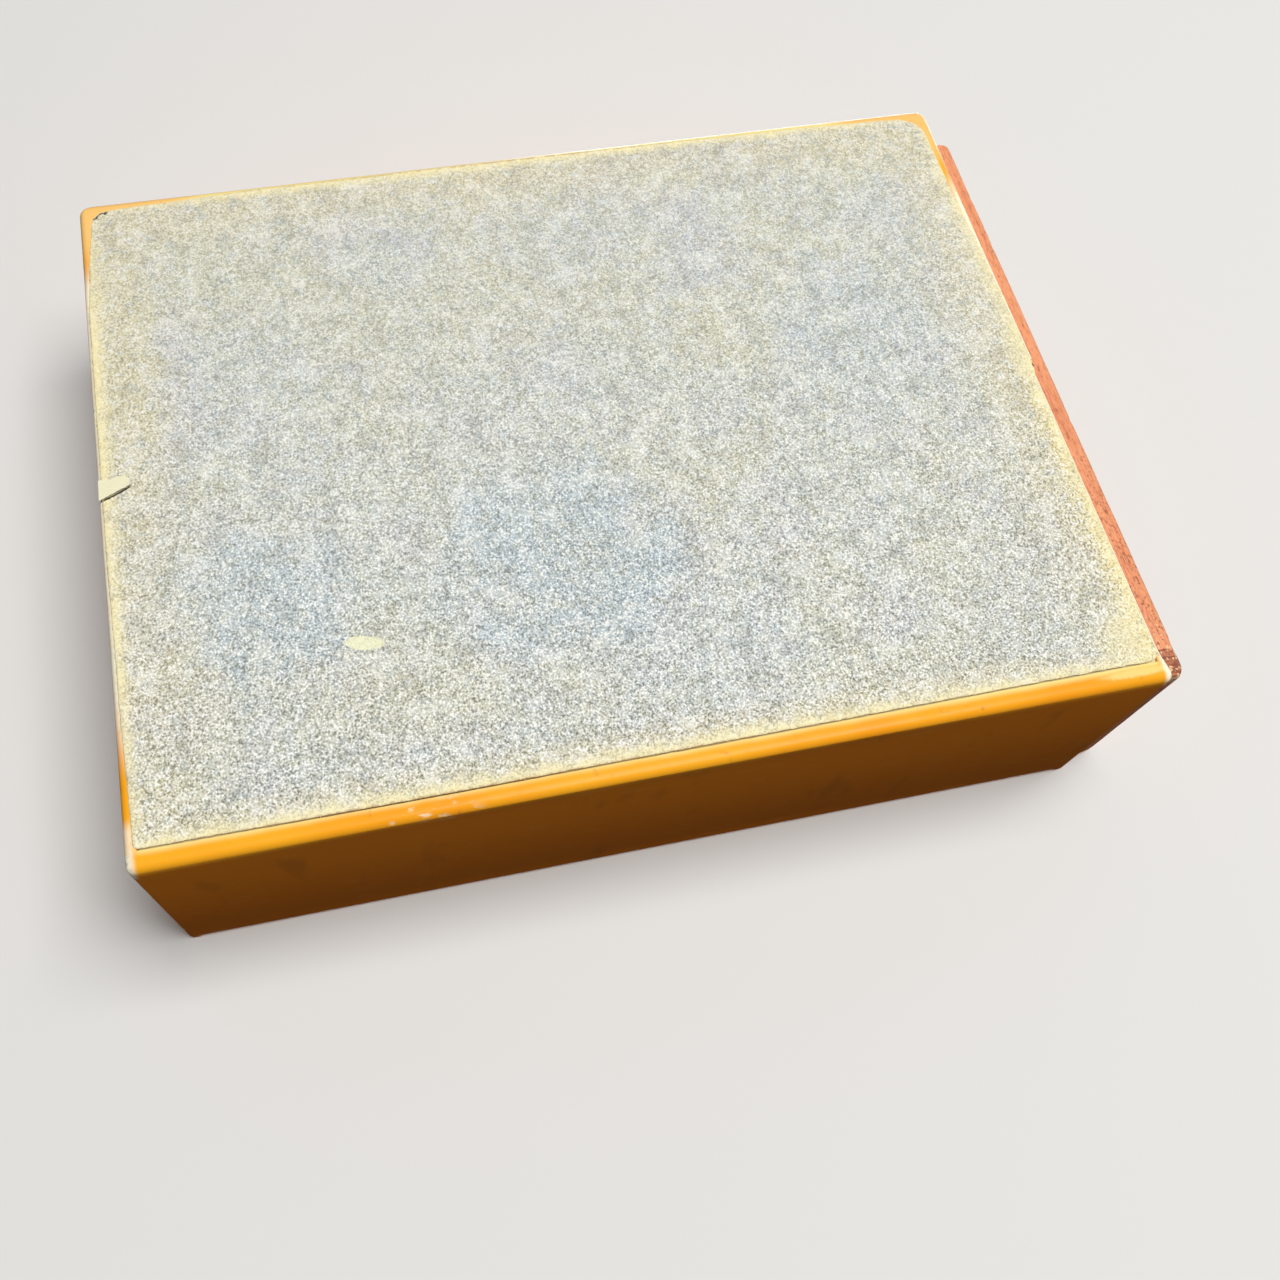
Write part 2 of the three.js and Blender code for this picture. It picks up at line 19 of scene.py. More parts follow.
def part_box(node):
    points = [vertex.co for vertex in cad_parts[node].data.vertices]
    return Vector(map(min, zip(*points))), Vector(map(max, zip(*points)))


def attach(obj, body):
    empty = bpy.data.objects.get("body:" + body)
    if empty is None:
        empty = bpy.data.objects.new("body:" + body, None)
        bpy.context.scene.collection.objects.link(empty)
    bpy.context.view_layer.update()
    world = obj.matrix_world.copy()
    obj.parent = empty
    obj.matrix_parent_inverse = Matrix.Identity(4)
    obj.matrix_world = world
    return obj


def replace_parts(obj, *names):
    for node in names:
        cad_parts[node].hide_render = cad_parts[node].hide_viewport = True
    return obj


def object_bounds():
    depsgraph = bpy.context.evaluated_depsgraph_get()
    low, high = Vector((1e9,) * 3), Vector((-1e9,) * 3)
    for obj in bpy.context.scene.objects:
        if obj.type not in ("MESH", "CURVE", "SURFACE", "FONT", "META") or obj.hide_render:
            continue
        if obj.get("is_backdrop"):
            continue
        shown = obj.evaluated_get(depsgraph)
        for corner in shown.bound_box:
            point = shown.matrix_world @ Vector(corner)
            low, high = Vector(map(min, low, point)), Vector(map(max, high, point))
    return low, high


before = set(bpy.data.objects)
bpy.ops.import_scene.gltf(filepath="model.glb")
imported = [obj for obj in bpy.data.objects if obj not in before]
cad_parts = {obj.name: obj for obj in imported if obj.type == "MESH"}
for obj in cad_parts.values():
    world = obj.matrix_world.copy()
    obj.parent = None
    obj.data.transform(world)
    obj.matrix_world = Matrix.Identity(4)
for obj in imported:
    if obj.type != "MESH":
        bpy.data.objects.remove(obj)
LOG = logging.getLogger("box")

MM = 0.001
HAIR = 1e-4
TOUCHING = 0.002
SPECK = 0.001
SHARP_ANGLE = 35.0
SEED = 11

Colour = tuple[float, float, float, float]
Spot = tuple[float, float]
Step = tuple[float, float]


class Body(Enum):
    """The bodies that pieces ride on."""

    BOX = "box"
    LID = "lid"


class Slot(Enum):
    """Names of the material slots."""

    ENAMEL = "enamel"
    CARCASS = "carcass_wood"
    LID = "lid_wood"
    DOWEL = "dowel_wood"
    CARD = "base_card"
    FELT = "felt"
    BRASS = "brass"
    TACK = "tack_brass"


class Edge(Enum):
    """The four edges of the base."""

    FRONT = "front"
    BACK = "back"
    LEFT = "left"
    RIGHT = "right"


class Axis(Enum):
    """The direction that a board's grain runs in."""

    X = 0
    Y = 1


# Numbers and vectors


def mix(start: float, end: float, share: float) -> float:
    """Returns the value at a share of the way from start to end."""
    return start + (end - start) * share


def eased(value: float) -> float:
    """Returns 0 to 1 for a value of 0 to 1, with soft ends."""
    held = min(max(value, 0.0), 1.0)
    return held * held * (3.0 - 2.0 * held)


def ripple(*place: float) -> float:
    """Returns smooth noise of about -1 to 1 at up to three coordinates."""
    x, y, z = (*place, 0.0, 0.0)[:3]
    return noise.noise(Vector((x + SEED, y, z)))


def spaced(start: float, end: float, step: float, extra: Iterable[float] = ()) -> list[float]:
    """Lists places from start to end.

    Args:
        start: First place.
        end: Last place.
        step: Largest distance between two places.
        extra: Further places to keep in the list.

    Returns:
        The places in rising order.
    """
    count = max(1, math.ceil((end - start) / step))
    even = [mix(start, end, index / count) for index in range(count + 1)]
    return sorted({round(place, 4) for place in (*even, *extra) if start <= place <= end})


def paint(red: int, green: int, blue: int) -> Colour:
    """Returns the linear colour of three display values.

    Args:
        red: Share of red, from 0 to 255.
        green: Share of green.
        blue: Share of blue.

    Returns:
        The colour with full cover.
    """

    def linear(value: int) -> float:
        """Returns one channel without its display curve."""
        share = value / 255
        return share / 12.92 if share <= 0.04045 else ((share + 0.055) / 1.055) ** 2.4

    return linear(red), linear(green), linear(blue), 1.0


def box_mm(node: str) -> tuple[Vector, Vector]:
    """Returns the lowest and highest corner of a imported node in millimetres."""
    low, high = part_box(node)
    return low / MM, high / MM


# Node trees


class Signal:
    """A number in a shader tree that takes part in plain sums."""

    def __init__(self, tree: "NodeTree", socket: bpy.types.NodeSocket) -> None:
        """Wraps a socket of a tree."""
        self.tree = tree
        self.socket = socket

    def __add__(self, other: "Value") -> "Signal":
        """Returns the sum."""
        return self.tree.math("ADD", self, other)

    __radd__ = __add__

    def __mul__(self, other: "Value") -> "Signal":
        """Returns the product."""
        return self.tree.math("MULTIPLY", self, other)

    __rmul__ = __mul__

    def __sub__(self, other: "Value") -> "Signal":
        """Returns the difference."""
        return self.tree.math("SUBTRACT", self, other)

    def __rsub__(self, other: "Value") -> "Signal":
        """Returns the difference the other way round."""
        return self.tree.math("SUBTRACT", other, self)

    def __abs__(self) -> "Signal":
        """Returns the size without its sign."""
        return self.tree.math("ABSOLUTE", self)

    def mask(self, low: float, high: float) -> "Signal":
        """Returns 0 below low and 1 above high, with a soft step between them.

        Args:
            low: Where it is 0.
            high: Where it is 1, which can lie below low.

        Returns:
            The step.
        """
        settings = {"interpolation_type": "SMOOTHSTEP"}
        if low > high:
            return 1.0 - self.mask(high, low)
        node = self.tree.add("ShaderNodeMapRange", settings, {0: self, 1: low, 2: high})
        return Signal(self.tree, node.outputs[0])

    def larger(self, other: "Value") -> "Signal":
        """Returns the larger of two numbers."""
        return self.tree.math("MAXIMUM", self, other)


Value = Union[float, Signal]
Tint = Union[Colour, bpy.types.NodeSocket]


class NodeTree:
    """A node tree that is filled through one method."""

    def __init__(self, tree: bpy.types.NodeTree) -> None:
        """Empties the tree and keeps it."""
        self.tree = tree
        tree.nodes.clear()

    def add(self, kind: str, settings: dict | None = None, inputs: dict | None = None) -> bpy.types.Node:
        """Adds a node.

        Args:
            kind: The node's type.
            settings: Its properties. The key "stops" holds a ramp's places and colours.
            inputs: Values or links of its sockets, by name or index.

        Returns:
            The node.
        """
        node = self.tree.nodes.new(kind)
        for key, value in (settings or {}).items():
            if key == "stops":
                self._fill_ramp(node, value)
            else:
                setattr(node, key, value)
        for key, value in (inputs or {}).items():
            source = value.socket if isinstance(value, Signal) else value
            if isinstance(source, bpy.types.NodeSocket):
                self.tree.links.new(source, node.inputs[key])
            else:
                node.inputs[key].default_value = source
        return node

    @staticmethod
    def _fill_ramp(node: bpy.types.Node, stops: Sequence[tuple[float, Colour]]) -> None:
        """Gives a ramp its stops.

        Args:
            node: The ramp.
            stops: Place and colour of each stop.
        """
        elements = node.color_ramp.elements
        while len(elements) < len(stops):
            elements.new(1.0)
        for element, (place, colour) in zip(elements, stops):
            element.position = place
            element.color = colour

    def math(self, operation: str, *values: Value) -> Signal:
        """Returns the result of a Math node on one or two numbers."""
        node = self.add("ShaderNodeMath", {"operation": operation}, dict(enumerate(values)))
        return Signal(self, node.outputs[0])


class Shader(NodeTree):
    """A material whose pattern follows the object's own coordinates in millimetres."""

    def __init__(self, name: str) -> None:
        """Starts a material with its place signals.

        Args:
            name: Name of the material.
        """
        self.material = bpy.data.materials.new(name)
        self.material.use_nodes = True
        super().__init__(self.material.node_tree)
        where = self.add("ShaderNodeTexCoord").outputs["Object"]
        scaled = self.add("ShaderNodeVectorMath", {"operation": "SCALE"}, {0: where, "Scale": 1 / MM})
        self.place = scaled.outputs[0]
        parts = self.add("ShaderNodeSeparateXYZ", {}, {0: self.place})
        self.x, self.y, self.z = (Signal(self, output) for output in parts.outputs)

    def cloud(self, size: float, detail: float = 2.0, stretch: Sequence[float] = (1, 1, 1),
              shift: float = 0.0, bend: float = 0.0) -> Signal:
        """Returns noise of 0 to 1.

        Args:
            size: Size of its patches in millimetres.
            detail: Number of finer layers.
            stretch: How many times longer the patches are along each axis.
            shift: Moves the pattern, so that two of one size differ.
            bend: How far the patches are warped.

        Returns:
            The noise.
        """
        scale = [1 / (size * times) for times in stretch]
        inputs = {0: self.place, 1: (shift, shift, shift), 3: scale}
        at = self.add("ShaderNodeMapping", {}, inputs).outputs[0]
        values = {"Vector": at, "Scale": 1.0, "Detail": detail, "Distortion": bend}
        return Signal(self, self.add("ShaderNodeTexNoise", {}, values).outputs[0])

    def blob(self, centre: Spot, reach: Spot, plane: str = "xy", ragged: float = 0.0) -> Signal:
        """Returns a soft spot that is 1 in its middle.

        Args:
            centre: Its middle on the two axes of the plane.
            reach: Its half size on each of them.
            plane: The two axes.
            ragged: How far noise moves its border, as a share.

        Returns:
            The spot.
        """
        first, second = (getattr(self, axis) for axis in plane)
        across = (first - centre[0]) * (1 / reach[0])
        along = (second - centre[1]) * (1 / reach[1])
        squared = across * across + along * along
        if ragged:
            squared = squared + (self.cloud(min(reach) * 0.6, 3.0) - 0.5) * ragged
        return squared.mask(1.0, 0.15)

    def ramp(self, signal: Signal, stops: Sequence[tuple[float, Colour]]) -> bpy.types.NodeSocket:
        """Returns the colours of a number."""
        return self.add("ShaderNodeValToRGB", {"stops": stops}, {0: signal}).outputs[0]

    def over(self, under: Tint, *layers: tuple[Tint, Value]) -> Tint:
        """Returns a colour with others laid over it in order, each by its share."""
        for top, share in layers:
            inputs = {0: share, 6: under, 7: top}
            under = self.add("ShaderNodeMix", {"data_type": "RGBA"}, inputs).outputs[2]
        return under

    def relief(self, *layers: tuple[Signal, float]) -> bpy.types.NodeSocket:
        """Returns the normal of reliefs laid over one another, each with its depth in millimetres.

        Args:
            layers: Height and depth of each relief, the broadest first.

        Returns:
            The normal.
        """
        normal = {}
        for height, depth in layers:
            inputs = {"Height": height, "Distance": depth * MM, "Strength": 1.0, **normal}
            normal = {"Normal": self.add("ShaderNodeBump", {}, inputs).outputs[0]}
        return normal["Normal"]

    def finish(self, colour: Tint, roughness: Value, normal: bpy.types.NodeSocket,
               **other: Value) -> bpy.types.Material:
        """Closes the material.

        Args:
            colour: Base colour.
            roughness: Roughness.
            normal: Normal of the relief.
            other: Further sockets of the surface, with underscores for spaces.

        Returns:
            The material.
        """
        inputs = {"Base Color": colour, "Roughness": roughness, "Normal": normal}
        inputs.update({name.replace("_", " "): value for name, value in other.items()})
        surface = self.add("ShaderNodeBsdfPrincipled", {}, inputs)
        self.add("ShaderNodeOutputMaterial", {}, {0: surface.outputs[0]})
        return self.material


# Finishes


@dataclass(frozen=True)
class Patch:
    """Wear on the shell, by soft steps in from a side and from an end, and up from the rim."""

    side: Step
    end: Step
    above: Step


@dataclass(frozen=True)
class Enamel:
    """Orange enamel on sheet metal, worn to its cream ground at the rim and the corners, with painted
    highlights along the rim, painted sunlight at the far corners and painted shade on the walls.
    """

    half_width: float
    half_length: float
    rim_level: float
    coat: Colour = paint(255, 176, 34)
    # A random deeper tone of the enamel, which on the walls is also painted shade.
    deep: Colour = paint(252, 142, 8)
    # Painted shade that darkens the walls towards their top.
    wall_shade: Colour = paint(179, 93, 6)
    # Pale yellow of scratches, and of the painted highlights along the rim.
    pale: Colour = paint(255, 240, 160)
    # Painted sunlight on the rim's far corners.
    painted_sunlight: Colour = paint(253, 206, 128)
    ground: Colour = paint(255, 247, 218)
    grime: Colour = paint(110, 72, 38)
    bare: Colour = paint(222, 214, 196)
    near_black: Colour = paint(44, 34, 24)
    painted_shade_levels: Step = (4.0, 44.0)
    bead_top: Step = (42.6, 43.6)
    wall_above: Step = (0.8, 3.0)
    dirt_above: Step = (2.6, 0.4)
    rim_above: Step = (0.7, 0.1)
    sunlit_side: Patch = Patch((7.0, 4.0), (26.0, 17.0), (2.6, 1.0))
    sunlit_end: Patch = Patch((19.0, 9.0), (6.0, 4.0), (2.6, 1.0))
    right_highlight: Patch = Patch((2.0, 3.4), (1.2, 2.4), (0.7, 0.1))
    left_highlight_above: Step = (2.2, 1.0)
    left_highlight_ends: tuple[Step, Step] = ((70.0, 60.0), (-66.0, -58.0))
    back_chip_and_highlight: Patch = Patch((3.4, 2.6), (1.5, 0.7), (3.8, 3.2))
    front_chip_and_highlight: Patch = Patch((2.6, 1.4), (1.3, 0.8), (4.2, 2.4))
    upright_edge: Step = (1.6, 0.5)
    upright_levels: Step = (5.0, 6.0)
    highlight_streak_place: Spot = (61.3, -76.5)
    highlight_streak_reach: Spot = (1.0, 8.0)
    scuff_place: Spot = (38.0, 1.0)
    scuff_reach: Spot = (9.0, 2.2)
    scuff_side: Step = (3.2, 2.0)
    rubbed_above: Step = (2.2, 0.9)
    rubbed_end: Step = (1.9, 1.0)
    front_rub: Step = (-48.0, -38.0)
    back_rubs: tuple[Step, Step, Step] = ((50.0, 36.0), (-50.0, -42.0), (55.0, 57.5))
    seam_place: float = 0.2
    seam_reach: Step = (1.0, 0.6)
    seam_above: Step = (1.9, 1.3)
    seam_end: Step = (1.9, 1.5)

    def material(self) -> bpy.types.Material:
        """Builds the enamel.

        Returns:
            The material.
        """
        tree = Shader("orange_enamel")
        fine = tree.cloud(0.7, 4.0)
        coarse = tree.cloud(9.0, 3.0, shift=3.0)
        orange_peel = tree.cloud(1.1, 2.0, shift=21.0)
        scratches = tree.cloud(0.35, 2.0, (26.0, 26.0, 1.0), 17.0).mask(0.66, 0.72)
        wall = self._above_rim(tree, *self.wall_above)
        chips = self._chips(tree)
        worn = self._rubbed(tree, fine, coarse).larger(chips).larger(self._scuff(tree) * 0.8)
        dirt = tree.cloud(3.0, 5.0, (1.0, 1.0, 3.0), 13.0).mask(0.64, 0.8)
        dirt = dirt * self._above_rim(tree, *self.dirt_above)
        smear = tree.cloud(7.0, 5.0, (1.0, 1.0, 2.6), 33.0).mask(0.56, 0.8) * wall
        dirt = (dirt * 0.5).larger(smear * 0.3)
        # Painted shade: the walls take the deeper orange and darken further towards their top, as walls that
        # face away from the light.
        colour = tree.over(
            self.coat, (self.deep, tree.cloud(26.0, 3.0).mask(0.35, 0.75) * 0.5),
            (self.deep, fine.mask(0.55, 0.8) * 0.25), (self.deep, wall * 0.9),
            (self.wall_shade, tree.z.mask(*self.painted_shade_levels) * 0.7))
        # Painted light on the rim: sunlight in peach at the far corners and pale highlights, then the real
        # wear, dirt and scratches.
        colour = tree.over(
            self._painted_light(tree, colour, coarse), (self.ground, worn),
            (self.bare, chips * fine.mask(0.56, 0.66)), (self.grime, dirt), (self.near_black, self._seam(tree)),
            (self.pale, scratches * wall * 0.25))
        uncovered = 1.0 - worn * (0.6 + 0.4 * fine)
        normal = tree.relief((orange_peel, 0.006), (uncovered, 0.05), (1.0 - scratches, 0.004))
        rough = 0.34 + 0.12 * coarse + 0.4 * worn + 0.2 * scratches + 0.25 * dirt
        gloss = 0.1 + 0.12 * self._inside(tree.x, self.half_width, 1.0, 3.0) * (1.0 - dirt)
        return tree.finish(colour, rough, normal, Coat_Weight=gloss * (1.0 - worn), Coat_Roughness=0.12,
                           Specular_IOR_Level=0.12)

    def _above_rim(self, tree: Shader, low: float, high: float) -> Signal:
        """Returns a step between two levels counted from the rim."""
        return tree.z.mask(self.rim_level + low, self.rim_level + high)

    @staticmethod
    def _inside(across: Signal, half: float, low: float, high: float) -> Signal:
        """Returns a step between two distances from an outer face."""
        return across.mask(half - low, half - high)

    def _patch(self, tree: Shader, across: Signal, along: Signal, patch: Patch) -> Signal:
        """Returns a patch of wear.

        Args:
            tree: The enamel's tree.
            across: The place across, rising towards the patch's side.
            along: The place along, rising towards the patch's end.
            patch: The patch.

        Returns:
            The patch.
        """
        side = self._inside(across, self.half_width, *patch.side)
        return side * self._inside(along, self.half_length, *patch.end) * self._above_rim(tree, *patch.above)

    def _painted_light(self, tree: Shader, colour: Tint, coarse: Signal) -> Tint:
        """Paints highlights in pale yellow along the rim by the base, and painted sunlight in peach at the
        left corners.

        Args:
            tree: The enamel's tree.
            colour: The colour so far.
            coarse: Broad noise that makes the borders uneven.

        Returns:
            The faded colour.
        """
        leftward, from_end = tree.x * -1.0, abs(tree.y)
        painted_sunlight = self._patch(tree, leftward, from_end, self.sunlit_side)
        painted_sunlight = painted_sunlight.larger(self._patch(tree, leftward, from_end, self.sunlit_end))
        right = self._patch(tree, tree.x + 0.6 * (coarse - 0.5), from_end, self.right_highlight)
        right = right * tree.x.mask(0.0, 1.0)
        back, front = ((tree.y + 4 * coarse).mask(*step) for step in self.left_highlight_ends)
        left = tree.x.mask(0.0, -1.0) * back * front * self._above_rim(tree, *self.left_highlight_above)
        rim = self._above_rim(tree, *self.rim_above)
        # A painted highlight streak along the rim near the right front corner.
        streak = tree.blob(self.highlight_streak_place, self.highlight_streak_reach, ragged=0.6) * rim * 0.7
        return tree.over(colour, (self.painted_sunlight, painted_sunlight * (0.6 + 0.4 * coarse)),
                         (self.pale, right.larger(left).larger(streak) * 0.85))

    def _rubbed(self, tree: Shader, fine: Signal, coarse: Signal) -> Signal:
        """Returns where the short sides' lower edges are rubbed to the ground.

        Args:
            tree: The material's tree.
            fine: Fine noise.
            coarse: Broad noise.

        Returns:
            How far the enamel is rubbed off, from 0 to 1.
        """
        edge = self._above_rim(tree, *self.rubbed_above)
        edge = edge * self._inside(abs(tree.y), self.half_length, *self.rubbed_end)
        front = tree.y.mask(0.0, -1.0) * tree.x.mask(*self.front_rub)
        back = tree.y.mask(0.0, 1.0)
        start, end, corner = (tree.x.mask(*step) for step in self.back_rubs)
        rubbed = front + (back * start * end).larger(back * corner * 0.7)
        return edge * rubbed * (fine.mask(0.15, 0.55) * 0.35 + coarse.mask(0.2, 0.5) * 0.25 + 0.4)

    def _seam(self, tree: Shader) -> Signal:
        """Returns where the notch of each seam is painted near black."""
        notch = abs(tree.x - self.seam_place).mask(*self.seam_reach) * self._above_rim(tree, *self.seam_above)
        return notch * self._inside(abs(tree.y), self.half_length, *self.seam_end)

    def _chips(self, tree: Shader) -> Signal:
        """Returns where the near corners, the bead and the upright edges are chipped; the cream at the near
        corners is also a painted highlight.

        Args:
            tree: The material's tree.

        Returns:
            The chips.
        """
        ragged = tree.cloud(1.3, 3.0, shift=8.0)
        # The two near corners' cream patches are chips that also serve as painted corner highlights.
        back = self._patch(tree, tree.x, tree.y, self.back_chip_and_highlight) * ragged.mask(0.22, 0.34)
        front = self._patch(tree, tree.x, tree.y * -1.0, self.front_chip_and_highlight) * ragged.mask(0.42, 0.52)
        corner = self._inside(abs(tree.x), self.half_width, *self.upright_edge)
        corner = corner * self._inside(abs(tree.y), self.half_length, *self.upright_edge)
        bead = tree.z.mask(*self.bead_top).larger(corner * tree.z.mask(*self.upright_levels))
        return (back + front).larger(bead * tree.cloud(1.4, 4.0, shift=51.0).mask(0.66, 0.7))

    def _scuff(self, tree: Shader) -> Signal:
        """Returns the scuffed patch on the right side's rolled edge.

        Args:
            tree: The material's tree.

        Returns:
            The scuff.
        """
        along, above = self.scuff_place
        patch = tree.blob((along, self.rim_level + above), self.scuff_reach, "yz", 0.5)
        patch = patch * self._inside(tree.x, self.half_width, *self.scuff_side)
        return patch * tree.cloud(0.9, 4.0, (1.0, 2.5, 1.0), 5.0).mask(0.54, 0.7) * 0.7


@dataclass(frozen=True)
class Line:
    """A straight tear in the felt, where x is slope times y less shift."""

    slope: float
    shift: float

    def beside(self, x: Value, y: Value) -> Value:
        """Returns how far a place lies beside the line, along X."""
        return x - self.slope * y + self.shift


@dataclass(frozen=True)
class Oval:
    """An area of the felt, which can lie a little aslant."""

    centre: Spot
    reach: Spot
    share: float = 1.0
    slant: float = 0.0
    ragged: float = 0.0

    def away(self, x: Value, y: Value) -> Value:
        """Returns the squared distance from its middle, 1 on its border.

        Args:
            x: Place across.
            y: Place along.

        Returns:
            The squared distance.
        """
        along = y - self.centre[1]
        across = (x + self.slant * along - self.centre[0]) * (1 / self.reach[0])
        along = along * (1 / self.reach[1])
        return across * across + along * along


@dataclass(frozen=True)
class Border:
    """One edge of the felt: where it starts, and how far wear and a warm tint reach in from it."""

    axis: str
    inward: int
    start: float
    wear: float
    warmth: float

    def inside(self, tree: Shader) -> Signal:
        """Returns the distance inwards from the edge."""
        return (getattr(tree, self.axis) - self.start) * self.inward


BARE = Oval((33.7, 44.0), (1.35, 3.3), slant=0.17)
SLIT = Line(0.46, 36.6)


@dataclass(frozen=True)
class Felt:
    """Faded grey flock, matted and worn through to a cream ground along its edges."""

    wool: Colour = paint(201, 203, 193)
    shadow: Colour = paint(116, 117, 108)
    blue: Colour = paint(180, 196, 206)
    lilac: Colour = paint(202, 201, 208)
    olive: Colour = paint(210, 206, 174)
    light: Colour = paint(252, 252, 246)
    warm: Colour = paint(226, 211, 168)
    straw: Colour = paint(252, 228, 138)
    ground: Colour = paint(254, 240, 184)
    bared: Colour = paint(242, 242, 204)
    rust: Colour = paint(186, 140, 84)
    near_black: Colour = paint(62, 50, 36)
    edges: tuple[Border, ...] = (
        Border("x", 1, -61.7, 2.2, 18.0), Border("x", -1, 60.2, 2.6, 6.0),
        Border("y", 1, -81.8, 3.2, 18.0), Border("y", -1, 81.9, 2.8, 18.0))
    blue_areas: tuple[Oval, ...] = (
        Oval((24.0, 10.0), (22.0, 26.0), 0.95), Oval((25.0, 56.0), (16.0, 20.0), 0.85),
        Oval((-12.0, -52.0), (20.0, 17.0), 0.5), Oval((42.0, -9.0), (12.0, 22.0), 0.4))
    olive_areas: tuple[Oval, ...] = (
        Oval((-26.0, 12.0), (15.0, 16.0), 0.4), Oval((-16.0, -28.0), (12.0, 12.0), 0.4),
        Oval((-44.0, 62.0), (18.0, 20.0), 0.5), Oval((-55.0, -66.0), (10.0, 18.0), 0.6),
        Oval((55.0, 76.0), (8.0, 8.0), 0.7), Oval((-22.0, 78.0), (40.0, 9.0), 0.8),
        Oval((0.0, -78.0), (50.0, 8.0), 0.4), Oval((55.0, -38.0), (8.0, 24.0), 0.45))
    worn_areas: tuple[Oval, ...] = (
        Oval((58.0, -80.0), (12.0, 10.0), 0.55), Oval((-2.0, -81.0), (10.0, 4.0), 0.5))
    dark_areas: tuple[Oval, ...] = (
        Oval((24.0, 10.0), (9.0, 13.0), ragged=1.8), Oval((-9.0, -56.0), (3.5, 4.5), ragged=1.5))
    straw_front: Step = (-75.9, -80.4)
    straw_right: Step = (-2.0, 14.0)
    crack: Line = Line(0.48, 97.6)
    crack_start: Step = (76.9, 77.8)
    slit_start: Step = (76.9, 77.5)
    slit_end: Step = (82.0, 81.5)
    slit_middle: Step = (3.0, 2.0)
    notch: Oval = Oval((0.9, -81.8), (0.6, 0.5))

    def material(self) -> bpy.types.Material:
        """Builds the felt.

        Returns:
            The material.
        """
        tree = Shader("faded_felt")
        grain = tree.cloud(0.34, 1.0, shift=4.0)
        tuft = tree.cloud(0.9, 2.0, (1.0, 1.3, 1.0), 9.0)
        mottle = tree.cloud(4.4, 3.0, shift=12.0)
        tint = tree.cloud(2.0, 3.0, shift=27.0)
        colour = tree.over(self._tints(tree), (self.blue, tint.mask(0.5, 0.3) * 0.36),
                           (self.olive, tint.mask(0.5, 0.7) * 0.36))
        coarser = 0.7 + 0.6 * tree.x.mask(-60.0, 60.0)
        for layer, share in ((grain, coarser * 0.7), (tuft, 0.22), (mottle, 0.2)):
            colour = tree.over(colour, (self.shadow, layer.mask(0.5, 0.28) * share),
                               (self.light, layer.mask(0.5, 0.7) * share * 1.2))
        worn, rusty = self._wear(tree)
        bare = (BARE.away(tree.x, tree.y) + 0.9 * (tree.cloud(1.4, 4.0) - 0.5)).mask(1.0, 0.7)
        colour = tree.over(colour, (self.ground, worn * (0.5 + 0.7 * grain)),
                           (self.bared, bare * (0.55 + 0.6 * grain)), (self.rust, rusty),
                           (self.near_black, self._tears_and_flap_shadow(tree)))
        normal = tree.relief((tree.cloud(5.0, 2.0), 0.15), (tuft, 0.16), (grain, 0.07))
        return tree.finish(colour, 0.95 - 0.15 * worn, normal, Specular_IOR_Level=0.15, Sheen_Weight=0.1,
                           Sheen_Roughness=0.5)

    def _tints(self, tree: Shader) -> Tint:
        """Lays the soft blue, lilac, olive and warm areas over the wool.

        Args:
            tree: The material's tree.

        Returns:
            The colour of the flock before its grain and its wear.
        """
        drift = tree.cloud(11.0, 4.0, bend=0.6)
        patch = tree.cloud(24.0, 3.0, shift=6.0, bend=0.4)
        colour = tree.over(self.wool, (self.lilac, drift.mask(0.4, 0.7) * 0.5),
                           (self.olive, patch.mask(0.42, 0.7) * 0.5))
        for area in self.blue_areas:
            blot = tree.blob(area.centre, area.reach, ragged=2.2) * (0.3 + 0.9 * drift)
            colour = tree.over(colour, (self.blue, blot * area.share))
        for area in self.olive_areas:
            blot = tree.blob(area.centre, area.reach, ragged=2.0)
            colour = tree.over(colour, (self.olive, blot * area.share))
        first, second = (tree.blob(area.centre, area.reach, ragged=area.ragged) for area in self.dark_areas)
        straw = tree.y.mask(*self.straw_front) * tree.x.mask(*self.straw_right)
        return tree.over(colour, (self.shadow, first.larger(second) * 0.14 * drift),
                         (self.warm, self._border(tree, 3.0) * (0.2 + 0.6 * patch)),
                         (self.straw, straw * (0.25 + 0.6 * drift)))

    def _border(self, tree: Shader, near: float, far: float | None = None) -> Signal:
        """Returns 1 near an edge and 0 away from all, past each edge's own reach or a given one.

        Args:
            tree: The material's tree.
            near: Distance within which it is 1.
            far: Distance past which it is 0, for all edges alike.

        Returns:
            The border.
        """
        masks = [edge.inside(tree).mask(far or edge.warmth, near) for edge in self.edges]
        nearest = masks[0]
        for other in masks[1:]:
            nearest = nearest.larger(other)
        return nearest

    def _wear(self, tree: Shader) -> tuple[Signal, Signal]:
        """Returns where the flock is worn to its ground, and where its very edge is rusty.

        Args:
            tree: The material's tree.

        Returns:
            The worn places and the rusty ones.
        """
        blotch = tree.cloud(3.2, 5.0, shift=2.0)
        fleck = tree.cloud(1.2, 3.0, shift=7.0)
        blots = [tree.blob(area.centre, area.reach, ragged=0.9) * area.share for area in self.worn_areas]
        worn = blots[0].larger(blots[1])
        for edge in self.edges:
            inside = edge.inside(tree) + (blotch - 0.5) * edge.wear * 1.2 + (fleck - 0.5) * 0.9
            worn = worn.larger(inside.mask(edge.wear * 1.2, -0.2 * edge.wear) * 0.95)
        return worn, self._border(tree, 0.02, 0.35) * fleck.mask(0.4, 0.6) * 0.5

    def _tears_and_flap_shadow(self, tree: Shader) -> Signal:
        """Returns the dark slit by the seam, which is painted shadow under the torn flap's edge, the crack at
        a corner and the notch of the front seam.

        Args:
            tree: The material's tree.

        Returns:
            The tears.
        """
